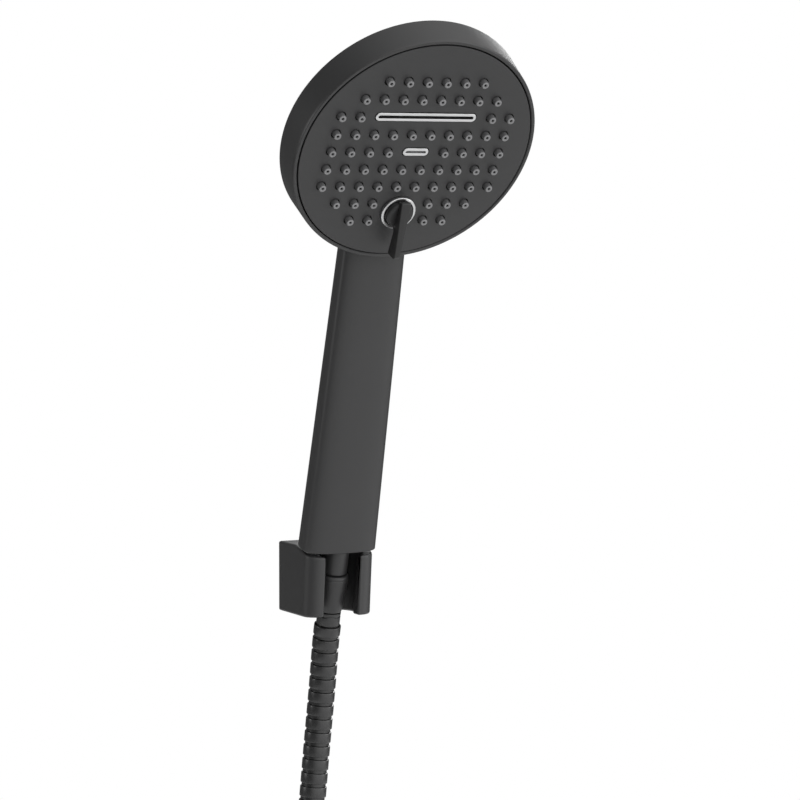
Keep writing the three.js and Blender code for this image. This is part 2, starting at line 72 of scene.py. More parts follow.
# Handle: half widths at its foot and at the head's lower edge, and depths before and behind its axis.
HANDLE = dict(foot_half=19.05, head_half=16.15, head_at=150.0, front=9.0, back=11.9, front_power=4.5,
              back_power=2.8, crown=0.16, foot_fillet=0.7, wall=2.6, tip_at=208.0, floor=4.0, roof=168.0)
# Handle's run into the back of the head, from head_at to tip_at.
HANDLE_END = dict(sunk=0.8, bulge=16.0, cover=4.0, narrow_from=0.2, narrow_over=0.82, narrow_power=2.4)
# Depths of the head and its spray face are measured back from the nozzle tips.
DISC = dict(radius=60.35, rim_radius=59.5, plate_y=2.55, back_y=19.2, inner=57.75, floor_y=16.8)
PLATE = dict(radius=57.2, thickness=2.2, hole=2.3, shaft_hole=3.5, bevel=0.25)
MAT = dict(radius=55.0, front=5.05, back=7.05, shaft_hole=5.0, bevel=0.1)
# Rows of nozzles on the right half: row, first and last column, in pitches from the middle.
NOZZLE_ROWS = ((4, .5, 2.5), (3, .5, 3.5), (2, 3.5, 4.5), (1, .5, 4.5), (0, 1.5, 4.5),
               (-1, .5, 4.5), (-2, .5, 4.5), (-3, 1.5, 3.5), (-4, 1.5, 2.5))
NOZZLE_TIP_HIGHLIGHT = dict(end=0.5, fade=0.35)  # depth where the painted highlight on the tips ends, and over what depth it fades
SLOTS = {"long_slot_insert": dict(row=2.0, length=51.0, width=4.4, lip=-1.43),
         "short_slot_insert": dict(row=0.0, length=13.0, width=4.1, lip=-1.65)}
SLOT_RIM, SLOT_PROUD, GAP = 1.43, 0.35, 0.3
KNOB_ROW = -3.5
# Fin: half its thickness, its edges' radius, where its taper starts, over what length, and by what share.
FIN = dict(half=2.45, edge=0.42, top=8.7, length=29.1, narrowing=0.47)
BRACKET = dict(half=17.9, depth=36.55, corner=6.9, bottom=-16.5, top=18.0, lean=0.00277,
               drop=1.5, bore=12.0, slot_half=9.0, screw_z=(8.0, -8.0))
HEX_NUT = dict(flat=11.69, corner=13.45, cone=11.9, cone_depth=1.7, bottom=-31.0, top=-17.0)
TIE = dict(half_width=6.2, thickness=1.3, inset=0.7, buckle=0.6)
COIL = dict(radius=69.0, y=-9.2, z=-262.0, pitch=14.2, turns=3, points=1400, tail=48.0, tail_points=60)
HOSE_START = -40.0  # along the handset's axis from its foot
HOSE_ROUTE = ((0, -18.6, -24.6), (-.1, -14.6, -45), (-.8, -12.1, -65), (-2.1, -10.6, -85), (-3.5, -10, -103),
              (-5.4, -9.6, -121), (-9.6, -9.3, -138), (-17.2, -9.2, -155), (-28.4, -9.2, -172),
              (-41, -9.2, -188), (-52.6, -9.2, -205), (-61.4, -9.2, -224), (-67, -9.2, -244))
# Radius of the hose over one strip, from slit to slit: (share of the strip's width, share of the radius).
STRIP = np.array([(0.0, 0.820), (0.045, 0.820), (0.051, 0.975), (0.067, 0.992), (0.1, 0.998), (0.42, 1.0),
                  (0.735, 0.998), (0.773, 0.990), (0.785, 0.970), (0.795, 0.905), (0.993, 0.908)])

# ---------------------------------------------------------------- light

CAMERA = dict(place=(-0.63615, -1.39168, 0.18807), tilt=86.2205, turn=-26.216, lens=139.5, sensor=36.0)
AIM = (0, -0.08, 0.12)  # the point that the lamps face, in metres
LAMPS = {"side": ((-1.75, 0.45, 0.3), 0.6, 6.0), "rim": ((1.3, 1.7, 0.9), 0.7, 8.0),
         "key": ((1.5, -0.9, 0.15), 0.7, 4.5)}  # place in metres, size in metres, watts
# Soft lights of the room: direction, the cosines where each starts and is full, and its two strengths.
ROOM_LIGHTS = (((0.4, -0.8, 0.45), (0.1, 0.95), (0.17, 1.5)), ((0.35, 0.1, 0.93), (0.35, 1.0), (0.0, 0.5)))
FLOOR = dict(radius=1.05, level=-0.44)

# ---------------------------------------------------------------- places


class Place:
    """A turned frame: its own millimetres to the row's metres."""

    def __init__(self, lean, origin):
        c, s = math.cos(lean), math.sin(lean)
        self.turn = np.array([[1, 0, 0], [0, c, -s], [0, s, c]])
        self.origin = np.asarray(origin, float)

    def __call__(self, points):
        """Point in metres = origin + turn x point in millimetres x 0.001."""
        return self.origin + (np.asarray(points, float) * MM) @ self.turn.T


def box_middle(node):
    """Middle of a node's box, in metres."""
    low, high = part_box(node)
    return (np.array(low) + np.array(high)) / 2


def place_about(node, lean, offset):
    """Frame with this lean in which the node's middle lies at the offset, in millimetres."""
    place = Place(lean, (0, 0, 0))
    place.origin = box_middle(node) - place(offset)
    return place


ROW = Place(0.0, (0, 0, 0))
HANDSET = place_about("water_tube", HANDSET_LEAN, (0, 0, TUBE_MIDDLE))
HEAD = place_about("face_plate", HEAD_LEAN, (0, PLATE_MIDDLE, 0))

# ---------------------------------------------------------------- meshes from numpy


def softened(corners, cut, steps=4, closed=False):
    """Line with its corners rounded: each corner P becomes the curve (1-t)^2 A + 2t(1-t) P + t^2 B,
    where A and B lie on its two sides at the distance cut, or nearer where a side is short."""
    longest = 0.46  # share of a side that one corner may take
    p = np.asarray(corners, float)
    before, after = np.roll(p, 1, axis=0) - p, np.roll(p, -1, axis=0) - p
    near, far = np.linalg.norm(before, axis=1), np.linalg.norm(after, axis=1)
    reach = np.minimum(np.broadcast_to(cut, len(p)), longest * np.minimum(near, far))[:, None]
    a = p + before / np.maximum(near, TINY)[:, None] * reach
    b = p + after / np.maximum(far, TINY)[:, None] * reach
    if not closed:
        a[0] = b[0] = p[0]
        a[-1] = b[-1] = p[-1]
    t = np.linspace(0, 1, steps + 1)[None, :, None]
    line = (1 - t) ** 2 * a[:, None] + 2 * t * (1 - t) * p[:, None] + t * t * b[:, None]
    line = line.reshape(-1, p.shape[1])
    step = np.linalg.norm(line - np.roll(line, 1, axis=0), axis=1)
    keep = step > SAME
    keep[0] = keep[0] or not closed
    return line[keep]


def drawn_in(radius, past):
    """How far a rounded edge lies inside its side: r - sqrt(r^2 - d^2), where d grows from 0 at the start
    of the rounding to r at the corner."""
    return radius - np.sqrt(np.maximum(0, radius ** 2 - np.maximum(0, past) ** 2))


def whole_turn(count):
    """Equal angles once round, from 0."""
    return np.linspace(0, 2 * np.pi, count, endpoint=False)


def grid_faces(rows, columns, wrap_rows):
    """Quads of a grid that closes round its columns, and round its rows if wrap_rows."""
    r = np.arange(rows if wrap_rows else rows - 1)[:, None]
    c = np.arange(columns)[None, :]
    on, up = (c + 1) % columns, (r + 1) % rows
    corners = [r * columns + c, r * columns + on, up * columns + on, up * columns + c]
    return np.stack(corners, -1).reshape(-1, 4)


def capped_faces(rows, columns):
    """Quads of a grid that closes round its columns, with the first and last row each filled by one face."""
    ring = np.arange(columns)[None]
    return [grid_faces(rows, columns, False), ring[:, ::-1], (rows - 1) * columns + ring]


def outward(points, faces):
    """The faces, turned over if the solid's signed volume, the sum of A . (B x C) / 6, is negative."""
    volume = 0.0
    for block in faces:
        for k in range(1, block.shape[1] - 1):
            a, b, c = points[block[:, 0]], points[block[:, k]], points[block[:, k + 1]]
            volume += np.einsum("ij,ij->", a, np.cross(b, c))
    return [block[:, ::-1] if volume < 0 else block for block in faces]


def shell(rows, wrap_rows=False):
    """Closed surface from a grid of points: rows of rings. Open ends are closed by a fan to the end
    ring's mean point."""
    rows = np.asarray(rows, float)
    count, around = rows.shape[:2]
    points = rows.reshape(-1, 3)
    faces = [grid_faces(count, around, wrap_rows)]
    if not wrap_rows:
        points = np.vstack([points, rows[0].mean(0), rows[-1].mean(0)])
        c = np.arange(around)
        on, last = (c + 1) % around, (count - 1) * around
        faces.append(np.stack([on, c, np.full(around, count * around)], -1))
        faces.append(np.stack([last + c, last + on, np.full(around, count * around + 1)], -1))
    return points, outward(points, faces)


def turned(profile, place, sides=96, along="y", shift=(0, 0, 0), wrap=False):
    """Solid of revolution: the point (r, h) of the profile goes to (r cos a, h, r sin a), or with
    h along z, for every angle a. A profile that starts and ends on the axis leaves its poles to the fans,
    and one that closes on itself is a ring."""
    profile = np.asarray(profile, float)
    if not wrap:
        profile = profile[profile[:, 0] > TINY]
    a = whole_turn(sides)[None, :]
    r, h = profile[:, :1], np.broadcast_to(profile[:, 1:], (len(profile), sides))
    x, s = r * np.cos(a), r * np.sin(a)
    rows = np.stack([x, h, s] if along == "y" else [x, s, h], -1) + np.asarray(shift, float)
    return shell(place(rows), wrap)


def stadium(x, z, half, radius, count):
    """Round-ended outline once round: (x, z) + (half sign(cos a), 0) + radius (cos a, sin a).
    With half = 0 it is a circle."""
    a = (np.arange(count) + 0.5) / count * 2 * np.pi
    return np.stack([x + half * np.sign(np.cos(a)) + radius * np.cos(a), z + radius * np.sin(a)], -1)


def at_depth(loop, y):
    """The outline's points (x, z) at the depth y."""
    return np.stack([loop[:, 0], np.full(len(loop), y), loop[:, 1]], -1)


def sheet_between(outer, holes, y):
    """Flat sheet at depth y inside the outer outline and outside the holes, as triangles between the
    outlines' points. A triangle is dropped when its middle lies inside a hole."""
    loops = [outer, *holes]
    starts = np.cumsum([0] + [len(loop) for loop in loops])
    flat = np.vstack(loops)
    edges = np.vstack([np.stack([np.arange(n), np.roll(np.arange(n), -1)], -1) + s
                       for n, s in zip([len(loop) for loop in loops], starts)])
    found, _, faces, *_ = delaunay_2d_cdt(flat.tolist(), edges.tolist(), [], 0, 1e-7)
    found, faces = np.array(found), np.array([f for f in faces if len(f) == 3])
    middle = found[faces].mean(1)
    keep = inside(middle, outer)
    for hole in holes:
        keep &= ~inside(middle, hole)
    return at_depth(found, y), [faces[keep]]


def inside(points, loop):
    """True for each point inside the outline: a ray from it along +x crosses the outline an odd number
    of times."""
    a, b = loop[None], np.roll(loop, -1, axis=0)[None]
    x, z = points[:, :1], points[:, 1:]
    spans = (a[..., 1] > z) != (b[..., 1] > z)
    rise = np.where(spans, b[..., 1] - a[..., 1], 1.0)
    cross = a[..., 0] + (z - a[..., 1]) / rise * (b[..., 0] - a[..., 0])
    return (np.sum(spans & (cross > x), axis=1) % 2) == 1


def perforated(outline, holes, front, back, bevel):
    """Plate between two depths: a front and a back sheet, and a wall with a bevelled front edge round
    the outline and every hole. outline(d) and each hole(d) give the loop grown by d."""
    ease = 0.3 * bevel
    parts = [sheet_between(outline(-bevel), [hole(bevel) for hole in holes], front),
             sheet_between(outline(0), [hole(0) for hole in holes], back)]
    for edge, sign in [(outline, -1), *[(hole, 1) for hole in holes]]:
        steps = ((bevel, front), (ease, front + ease), (0, front + bevel), (0, back))
        rows = np.stack([at_depth(edge(sign * d), y) for d, y in steps])
        parts.append((rows.reshape(-1, 3), [grid_faces(len(steps), rows.shape[1], False)]))
    return parts


def mesh_of(name, parts, weld=False):
    """One mesh from (points, face blocks) parts. With weld, points closer than a micrometre become
    one and the normals are worked out again."""
    mesh = bpy.data.meshes.new(name)
    points, faces, base = [], [], 0
    for p, blocks in parts:
        points.append(p)
        faces += [face for block in blocks for face in (block + base).tolist()]
        base += len(p)
    mesh.from_pydata(np.vstack(points), [], faces)
    if weld:
        work = bmesh.new()
        work.from_mesh(mesh)
        bmesh.ops.remove_doubles(work, verts=work.verts, dist=SAME)
        bmesh.ops.recalc_face_normals(work, faces=work.faces)
        work.to_mesh(mesh)
        work.free()
    return mesh


def point_values(mesh, name, values):
    """Gives every point of the mesh a number, as a named attribute."""
    mesh.attributes.new(name, "FLOAT", "POINT").data.foreach_set("value", values.astype(np.float32))


def loose_object(name, mesh):
    """New object with this mesh, in the scene."""
    thing = bpy.data.objects.new(name, mesh)
    bpy.context.scene.collection.objects.link(thing)
    return thing


def carved(part, steps):
    """Mesh of a closed part after exact boolean steps (operation, part), with the tools removed again."""
    body = loose_object("work", mesh_of("work", [part]))
    tools = []
    for operation, shape in steps:
        tool = loose_object("tool", mesh_of("tool", [shape]))
        tools.append(tool)
        step = body.modifiers.new("step", "BOOLEAN")
        step.operation, step.object, step.solver = operation, tool, "EXACT"
    bpy.context.view_layer.update()
    made = bpy.data.meshes.new_from_object(body.evaluated_get(bpy.context.evaluated_depsgraph_get()))
    for thing in [body, *tools]:
        used = thing.data
        bpy.data.objects.remove(thing)
        bpy.data.meshes.remove(used)
    return made


def finish_piece(name, shape, material, body, stands_for=(), sharp=38):
    """Shows a mesh, or a list of parts made one mesh, as a named piece that rides on a body, smooth
    except over edges sharper than the angle in degrees."""
    mesh = mesh_of(name, shape) if isinstance(shape, list) else shape
    mesh.name = name
    piece = loose_object(name, mesh)
    mesh.materials.clear()
    mesh.materials.append(material)
    mesh.shade_smooth()
    mesh.set_sharp_from_angle(angle=math.radians(sharp))
    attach(piece, body)
    if stands_for:
        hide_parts(*stands_for)
    return piece


# ---------------------------------------------------------------- finishes


def new_effect(name, inputs, outputs):
    """Empty shader node group with named sockets, and its input and output nodes."""
    group = bpy.data.node_groups.new(name, "ShaderNodeTree")
    for label, kind, value in inputs:
        socket = group.interface.new_socket(label, in_out="INPUT", socket_type=kind)
        socket.default_value = value
    for label, kind in outputs:
        group.interface.new_socket(label, in_out="OUTPUT", socket_type=kind)
    return group, group.nodes.new("NodeGroupInput"), group.nodes.new("NodeGroupOutput")


def linked(tree, kind, *links, **values):
    """New node with its properties set, and its inputs linked or given constants: (socket, source)."""
    node = tree.nodes.new(kind)
    for key, value in values.items():
        setattr(node, key, value)
    for socket, source in links:
        if isinstance(source, bpy.types.NodeSocket):
            tree.links.new(source, node.inputs[socket])
        else:
            node.inputs[socket].default_value = source
    return node


def maths(tree, operation, *values):
    """Output of a Math node, from sockets or numbers."""
    return linked(tree, "ShaderNodeMath", *enumerate(values), operation=operation).outputs[0]


def scaled(tree, colour, factor):
    """Output of a node that scales a colour by a number."""
    return linked(tree, "ShaderNodeVectorMath", (0, colour), ("Scale", factor), operation="SCALE").outputs[0]


SURFACE = [("Colour", "NodeSocketColor"), ("Roughness", "NodeSocketFloat"), ("Normal", "NodeSocketVector")]
SPECK_SHARE = 0.7  # how much the fine grain tells in a moulding's shade, beside the slow drift
LINE_SHADE = 0.25  # how much the drawn lines tell in a metal's shade


def put_out(group, take, *sources):
    """Links an effect's colour, roughness and normal to its outputs."""
    for (label, _), source in zip(SURFACE, sources):
        group.links.new(source, take.inputs[label])
    return group


def grain_effect():
    """Moulded or coated surface: slow shade drift, fine grain in the relief, and paler outer edges."""
    if "surface_grain" in bpy.data.node_groups:
        return bpy.data.node_groups["surface_grain"]
    group, give, take = new_effect("surface_grain", [
        ("Colour", "NodeSocketColor", (0.05, 0.05, 0.05, 1)),
        ("Edge colour", "NodeSocketColor", (0.1, 0.1, 0.1, 1)),
        ("Edge wear", "NodeSocketFloat", 0.2), ("Shade drift", "NodeSocketFloat", 0.1),
        ("Grain scale", "NodeSocketFloat", 3000.0), ("Grain depth", "NodeSocketFloat", 0.2),
        ("Roughness", "NodeSocketFloat", 0.45), ("Roughness spread", "NodeSocketFloat", 0.1)], SURFACE)
    given = give.outputs
    where = linked(group, "ShaderNodeTexCoord").outputs["Object"]
    slow = linked(group, "ShaderNodeTexNoise", ("Vector", where), ("Scale", 38.0), ("Detail", 4.0),
                  ("Roughness", 0.6)).outputs["Fac"]
    fine = linked(group, "ShaderNodeTexNoise", ("Vector", where), ("Scale", given["Grain scale"]),
                  ("Detail", 3.0), ("Roughness", 0.65)).outputs["Fac"]
    drift = maths(group, "SUBTRACT", slow, 0.5)
    speck = maths(group, "SUBTRACT", fine, 0.5)
    both = maths(group, "MULTIPLY_ADD", speck, SPECK_SHARE, drift)
    shade = maths(group, "MULTIPLY_ADD", both, given["Shade drift"], 1.0)
    bend = linked(group, "ShaderNodeNewGeometry").outputs["Pointiness"]
    edge = linked(group, "ShaderNodeMapRange", ("Value", bend), ("From Min", 0.515), ("From Max", 0.6))
    worn = maths(group, "MULTIPLY", edge.outputs[0], given["Edge wear"])
    mixed = linked(group, "ShaderNodeMix", ("Factor", maths(group, "MULTIPLY", worn, fine)), data_type="RGBA")
    colour_a, colour_b = [s for s in mixed.inputs if s.type == "RGBA"]
    group.links.new(scaled(group, given["Colour"], shade), colour_a)
    group.links.new(given["Edge colour"], colour_b)
    rough = maths(group, "MULTIPLY_ADD", drift, given["Roughness spread"], given["Roughness"])
    relief = linked(group, "ShaderNodeBump", ("Strength", given["Grain depth"]), ("Distance", 0.00004),
                    ("Height", fine))
    toned = [s for s in mixed.outputs if s.type == "RGBA"][0]
    return put_out(group, take, toned, rough, relief.outputs[0])


def brushed_effect():
    """Fine drawn lines round or along a metal piece: noise stretched along one way, as relief and sheen."""
    if "brushed_lines" in bpy.data.node_groups:
        return bpy.data.node_groups["brushed_lines"]
    group, give, take = new_effect("brushed_lines", [
        ("Colour", "NodeSocketColor", (0.7, 0.7, 0.7, 1)), ("Stretch", "NodeSocketVector", (1, 1, 60)),
        ("Line scale", "NodeSocketFloat", 120.0), ("Line depth", "NodeSocketFloat", 0.1),
        ("Roughness", "NodeSocketFloat", 0.3), ("Roughness spread", "NodeSocketFloat", 0.15)], SURFACE)
    given = give.outputs
    where = linked(group, "ShaderNodeTexCoord").outputs["Object"]
    drawn = linked(group, "ShaderNodeVectorMath", (0, where), (1, given["Stretch"]), operation="MULTIPLY")
    lines = linked(group, "ShaderNodeTexNoise", ("Vector", drawn.outputs[0]), ("Scale", given["Line scale"]),
                   ("Detail", 5.0), ("Roughness", 0.7)).outputs["Fac"]
    centred = maths(group, "SUBTRACT", lines, 0.5)
    shade = maths(group, "MULTIPLY_ADD", centred, LINE_SHADE, 1.0)
    rough = maths(group, "MULTIPLY_ADD", centred, given["Roughness spread"], given["Roughness"])
    relief = linked(group, "ShaderNodeBump", ("Strength", given["Line depth"]), ("Distance", 0.00002),
                    ("Height", lines))
    return put_out(group, take, scaled(group, given["Colour"], shade), rough, relief.outputs[0])


def dressed(name, effect, settings, **constants):
    """Material: a Principled shader fed by one effect group, with its other sockets constant."""
    if name in bpy.data.materials:
        return bpy.data.materials[name]
    material = bpy.data.materials.new(name)
    material.use_nodes = True
    tree = material.node_tree
    shader = tree.nodes["Principled BSDF"]
    for socket, value in constants.items():
        shader.inputs[socket.replace("_", " ")].default_value = value
    group = tree.nodes.new("ShaderNodeGroup")
    group.node_tree = effect
    for socket, value in settings.items():
        group.inputs[socket].default_value = value
    for given, taken in (("Colour", "Base Color"), ("Roughness", "Roughness"), ("Normal", "Normal")):
        tree.links.new(group.outputs[given], shader.inputs[taken])
    return material


def grained(name, colour, edge, wear, drift, scale, depth, roughness, spread, **constants):
    """Material with moulded or coated grain, and an edge colour where the wear shows."""
    return dressed(name, grain_effect(), {
        "Colour": colour, "Edge colour": edge, "Edge wear": wear, "Shade drift": drift, "Grain scale": scale,
        "Grain depth": depth, "Roughness": roughness, "Roughness spread": spread}, **constants)


def brushed(name, colour, stretch, scale, depth, roughness, spread):
    """Bare metal with drawn lines."""
    return dressed(name, brushed_effect(), {
        "Colour": colour, "Stretch": stretch, "Line scale": scale, "Line depth": depth,
        "Roughness": roughness, "Roughness spread": spread}, Metallic=1.0)


def shaded_by(material, attribute, low, high):
    """The material with its colour scaled by a point attribute, from low at 0 to high at 1; it paints shade
    and highlight that follow the attribute.
    """
    tree = material.node_tree
    mask = linked(tree, "ShaderNodeAttribute", attribute_name=attribute).outputs["Fac"]
    tone = linked(tree, "ShaderNodeMapRange", ("Value", mask), ("To Min", low), ("To Max", high))
    toned = scaled(tree, tree.nodes["Group"].outputs["Colour"], tone.outputs[0])
    tree.links.new(toned, tree.nodes["Principled BSDF"].inputs["Base Color"])
    return material


def solid_colour(colour, factor=1.0):
    """Opaque colour, lighter or darker by the factor."""
    return (*[c * factor for c in colour[:3]], 1.0)


def black_moulding(finish, name="black_moulding", shade=1.0, roughness=0.0):
    """Satin black moulded plastic with a fine even grain; shade scales its colour, and a value below 1 gives
    a darker copy with painted shade.
    """
    return grained(name, solid_colour(finish.black, shade), solid_colour(finish.black, 2.2), wear=0.35,
                   drift=0.16, scale=5200.0, depth=finish.grain, roughness=finish.roughness + roughness,
                   spread=0.12, IOR=1.5)


def soft_grey(finish, name="nozzle_silicone"):
    """Silicone of the nozzles."""
    return grained(name, solid_colour(finish.silicone), solid_colour(finish.silicone, 1.5), wear=0.3,
                   drift=0.2, scale=7000.0, depth=0.25, roughness=0.5, spread=0.12, IOR=1.43)


def satin_plating(finish):
    """Plated inserts and ring."""
    return brushed("satin_plating", solid_colour(finish.plating), stretch=(60.0, 1.0, 60.0), scale=40.0,
                   depth=0.12, roughness=0.3, spread=0.16)


def black_coated_metal(finish):
    """Black coated metal of the hose's ends."""
    return grained("black_coated_metal", solid_colour(finish.black, 0.6), solid_colour(finish.black, 2.5),
                   wear=0.4, drift=0.2, scale=4200.0, depth=0.15, roughness=0.36, spread=0.14,
                   IOR=1.55, Coat_Weight=0.12, Coat_Roughness=0.25)


def hose_black_groove_shade(finish):
    """Coated strip of the hose, its colour scaled by the strip's radius: painted shade darkens the grooves
    and slits to a fifth, and the crowns come out a touch brighter than the base colour.
    """
    made = grained("hose_black_groove_shade", solid_colour(finish.black, 0.55), solid_colour(finish.black, 2.0), wear=0.15,
                   drift=0.2, scale=3800.0, depth=0.07, roughness=0.3, spread=0.12, IOR=1.6)
    # painted shade in the grooves and slits: colour x0.2 there, x1.05 on the crowns
    return shaded_by(made, "crown", low=0.2, high=1.05)


def rubber():
    """Seals, washers and ties."""
    return grained("black_rubber", (0.018, 0.018, 0.018, 1), (0.05, 0.05, 0.05, 1), wear=0.2, drift=0.3,
                   scale=2600.0, depth=0.5, roughness=0.72, spread=0.15, IOR=1.45)


def inner_moulding():
    """Plain mouldings inside the handset."""
    return grained("inner_moulding", (0.02, 0.02, 0.021, 1), (0.05, 0.05, 0.05, 1), wear=0.2, drift=0.2,
                   scale=2400.0, depth=0.3, roughness=0.6, spread=0.1, IOR=1.5)


def screw_steel():
    """Bright steel of the screws."""
    return brushed("screw_steel", (0.55, 0.56, 0.57, 1), stretch=(1.0, 30.0, 1.0), scale=240.0, depth=0.2,
                   roughness=0.32, spread=0.2)


def plug_nylon():
    """Grey nylon of the wall plugs."""
    return grained("plug_nylon", (0.4, 0.42, 0.45, 1), (0.55, 0.57, 0.6, 1), wear=0.2, drift=0.15,
                   scale=1800.0, depth=0.2, roughness=0.55, spread=0.1, IOR=1.5)


# ---------------------------------------------------------------- shapes


def axis_depth(up):
    """Depth of the handset's axis behind the nozzle tips, at a distance up the handset."""
    point = HANDSET(np.stack([0 * up, 0 * up, up], -1))
    return ((point - HEAD.origin) @ HEAD.turn)[..., 1] / MM


def handle_size(up):
    """Half width, front and back of the handle at a distance up it. It narrows evenly towards the head.
    Past the head's lower edge, with t from 0 to 1, the back's depth is the cubic that starts at the
    handle's own depth and slope and ends just inside the head's back, plus bulge x t^2 (1 - t). The front
    stays under the head's back wall, and the half width shrinks as the root of 1 - (t's share)^power."""
    h, end = HANDLE, HANDLE_END
    up = np.asarray(up, float)
    scale = 1 + (h["head_half"] / h["foot_half"] - 1) * np.minimum(up, h["tip_at"]) / h["head_at"]
    half, front, back = h["foot_half"] * scale, -h["front"] * scale, h["back"] * scale
    tilt = HEAD_LEAN - HANDSET_LEAN
    across, length = math.cos(tilt), h["tip_at"] - h["head_at"]
    t = np.clip((up - h["head_at"]) / length, 0, 1)
    axis = axis_depth(up)
    start = axis_depth(np.array(h["head_at"])) + back * across
    rise, stop = math.tan(tilt) * length, DISC["back_y"] - end["sunk"]
    depth = (start * (1 - t) ** 2 * (1 + 2 * t) + rise * t * (1 - t) ** 2
             + stop * t * t * (3 - 2 * t) + end["bulge"] * t * t * (1 - t))
    over = up > h["head_at"]
    back = np.where(over, (depth - axis) / across, back)
    cover = np.minimum(axis + front * across, DISC["back_y"] - end["cover"])
    front = np.where(over, (cover - axis) / across, front)
    share = np.maximum(0, t - end["narrow_from"]) / end["narrow_over"]
    narrow = np.sqrt(np.maximum(0, 1 - share ** end["narrow_power"]))
    return half * np.where(over, narrow, 1), front, back


def handle_loft(low, high, inset, around=128, steps=110):
    """Handle: at each height a superellipse |x|^p + |y|^p = 1, flatter in front than behind, with the
    front drawn back by crown x^2, scaled to the handle's half width, front and back less the inset. The
    outer skin's foot is drawn in along a quarter circle, the fillet."""
    h = HANDLE
    a = np.arange(around) / around * 2 * np.pi
    c, s = np.cos(a), np.sin(a)
    power = 2 / np.where(s < 0, h["front_power"], h["back_power"])
    x, y = np.sign(c) * np.abs(c) ** power, np.sign(s) * np.abs(s) ** power
    y = np.where(y < 0, y * (1 - h["crown"] * x * x), y)
    up = np.linspace(low, high, steps)
    if inset == 0:
        fillet = h["foot_fillet"]
        foot = low + fillet * (1 - np.cos(np.linspace(0, np.pi / 2, 6)))
        up = np.concatenate([foot[:-1], np.linspace(low + fillet, high, steps)])
        inset = drawn_in(fillet, low + fillet - up)[:, None]
    half, front, back = (v[:, None] for v in handle_size(up))
    middle = back - h["back"] / (h["back"] + h["front"]) * (back - front)
    reach = np.where(y < 0, middle - front - inset, back - middle - inset)
    rows = np.stack([x * (half - inset), middle + y * reach, np.broadcast_to(up[:, None], reach.shape)], -1)
    return shell(HANDSET(rows))


def nozzle_places(pitch):
    """Centres (x, z) of the nozzles: columns one pitch apart in each row, mirrored left to right."""
    right = np.array([(column, row) for row, first, last in NOZZLE_ROWS
                      for column in np.arange(first, last + 0.1)]) * pitch
    return np.vstack([right, right * (-1, 1)])


def clamped_spline(knots, first, last, step=0.5):
    """Smooth curve through the knots with continuous bend and the given end directions: cubic pieces
    whose slopes m solve h1 m0 + 2(h0 + h1) m1 + h0 m2 = 3 (h1 d0 / h0 + h0 d1 / h1) at each inner knot."""
    k = np.asarray(knots, float)
    d = np.diff(k, axis=0)
    h = np.linalg.norm(d, axis=1)
    n = len(k)
    matrix, right = np.eye(n), np.zeros((n, 3))
    right[0], right[-1] = first, last
    i = np.arange(1, n - 1)
    matrix[i, i - 1], matrix[i, i], matrix[i, i + 1] = h[1:], 2 * (h[:-1] + h[1:]), h[:-1]
    right[i] = 3 * (h[1:, None] * d[:-1] / h[:-1, None] + h[:-1, None] * d[1:] / h[1:, None])
    m = np.linalg.solve(matrix, right)
    at = np.concatenate([[0], np.cumsum(h)])
    u = np.linspace(0, at[-1], int(at[-1] / step) + 1)
    j = np.clip(np.searchsorted(at, u, side="right") - 1, 0, n - 2)
    t = ((u - at[j]) / h[j])[:, None]
    return ((1 + 2 * t) * (1 - t) ** 2 * k[j] + t * (1 - t) ** 2 * h[j, None] * m[j]
            + t * t * (3 - 2 * t) * k[j + 1] + t * t * (t - 1) * h[j, None] * m[j + 1])


def hose_line():
    """The hose's centreline in millimetres: a spline down to the coil, a helix of three turns
    (-R cos a, y - pitch a / 2 pi, z - R sin a), and a straight tail."""
    c = COIL
    start = HANDSET((0, 0, HOSE_START)) / MM
    drop = -c["pitch"] / (2 * np.pi)
    into = np.array([0, drop, -c["radius"]]) / math.hypot(drop, c["radius"])
    down = -HANDSET.turn[:, 2]
    stretch = clamped_spline([start, *HOSE_ROUTE, (-c["radius"], c["y"], c["z"])], down, into)
    a = np.linspace(0, 2 * np.pi * c["turns"], c["points"])[1:]
    coil = np.stack([-c["radius"] * np.cos(a), c["y"] + drop * a, c["z"] - c["radius"] * np.sin(a)], -1)
    t = np.linspace(0, c["tail"], c["tail_points"])[1:, None]
    return np.vstack([stretch, coil, coil[-1] + t * (0, 0, -1)])


def along_line(line, at):
    """Points and directions of a line at given distances along it."""
    step = np.linalg.norm(np.diff(line, axis=0), axis=1)
    s = np.concatenate([[0], np.cumsum(step)])
    way = np.gradient(line, s, axis=0)
    way /= np.linalg.norm(way, axis=1)[:, None]
    points = np.stack([np.interp(at, s, line[:, k]) for k in range(3)], -1)
    ways = np.stack([np.interp(at, s, way[:, k]) for k in range(3)], -1)
    return points, ways / np.linalg.norm(ways, axis=1)[:, None]


def hose_rings(line, radius, strip, sides=24):
    """Tube of plain rings: at distance s the radius is the strip profile at s / strip, and the ring
    stands square to the line."""
    length = np.linalg.norm(np.diff(line, axis=0), axis=1).sum()
    count = round(length / strip)
    at = ((np.arange(count)[:, None] + STRIP[None, :, 0]) * length / count).ravel()
    share = np.tile(STRIP[:, 1], count)
    at, share = np.append(at, length), np.append(share, STRIP[0, 1])
    centre, way = along_line(line, at)
    side = np.cross(way, (0, 1, 0))
    side /= np.linalg.norm(side, axis=1)[:, None]
    up = np.cross(side, way)
    a = whole_turn(sides)[None, :, None]
    spoke = np.cos(a) * side[:, None] + np.sin(a) * up[:, None]
    return centre[:, None] + (radius * share)[:, None, None] * spoke, centre, share


def box_part(low, high, place):
    """Box between two corners, as two square rings."""
    (x0, y0, z0), (x1, y1, z1) = low, high
    rows = [[(x0, y0, z), (x1, y0, z), (x1, y1, z), (x0, y1, z)] for z in (z0, z1)]
    return shell(place(rows))


# ---------------------------------------------------------------- settings


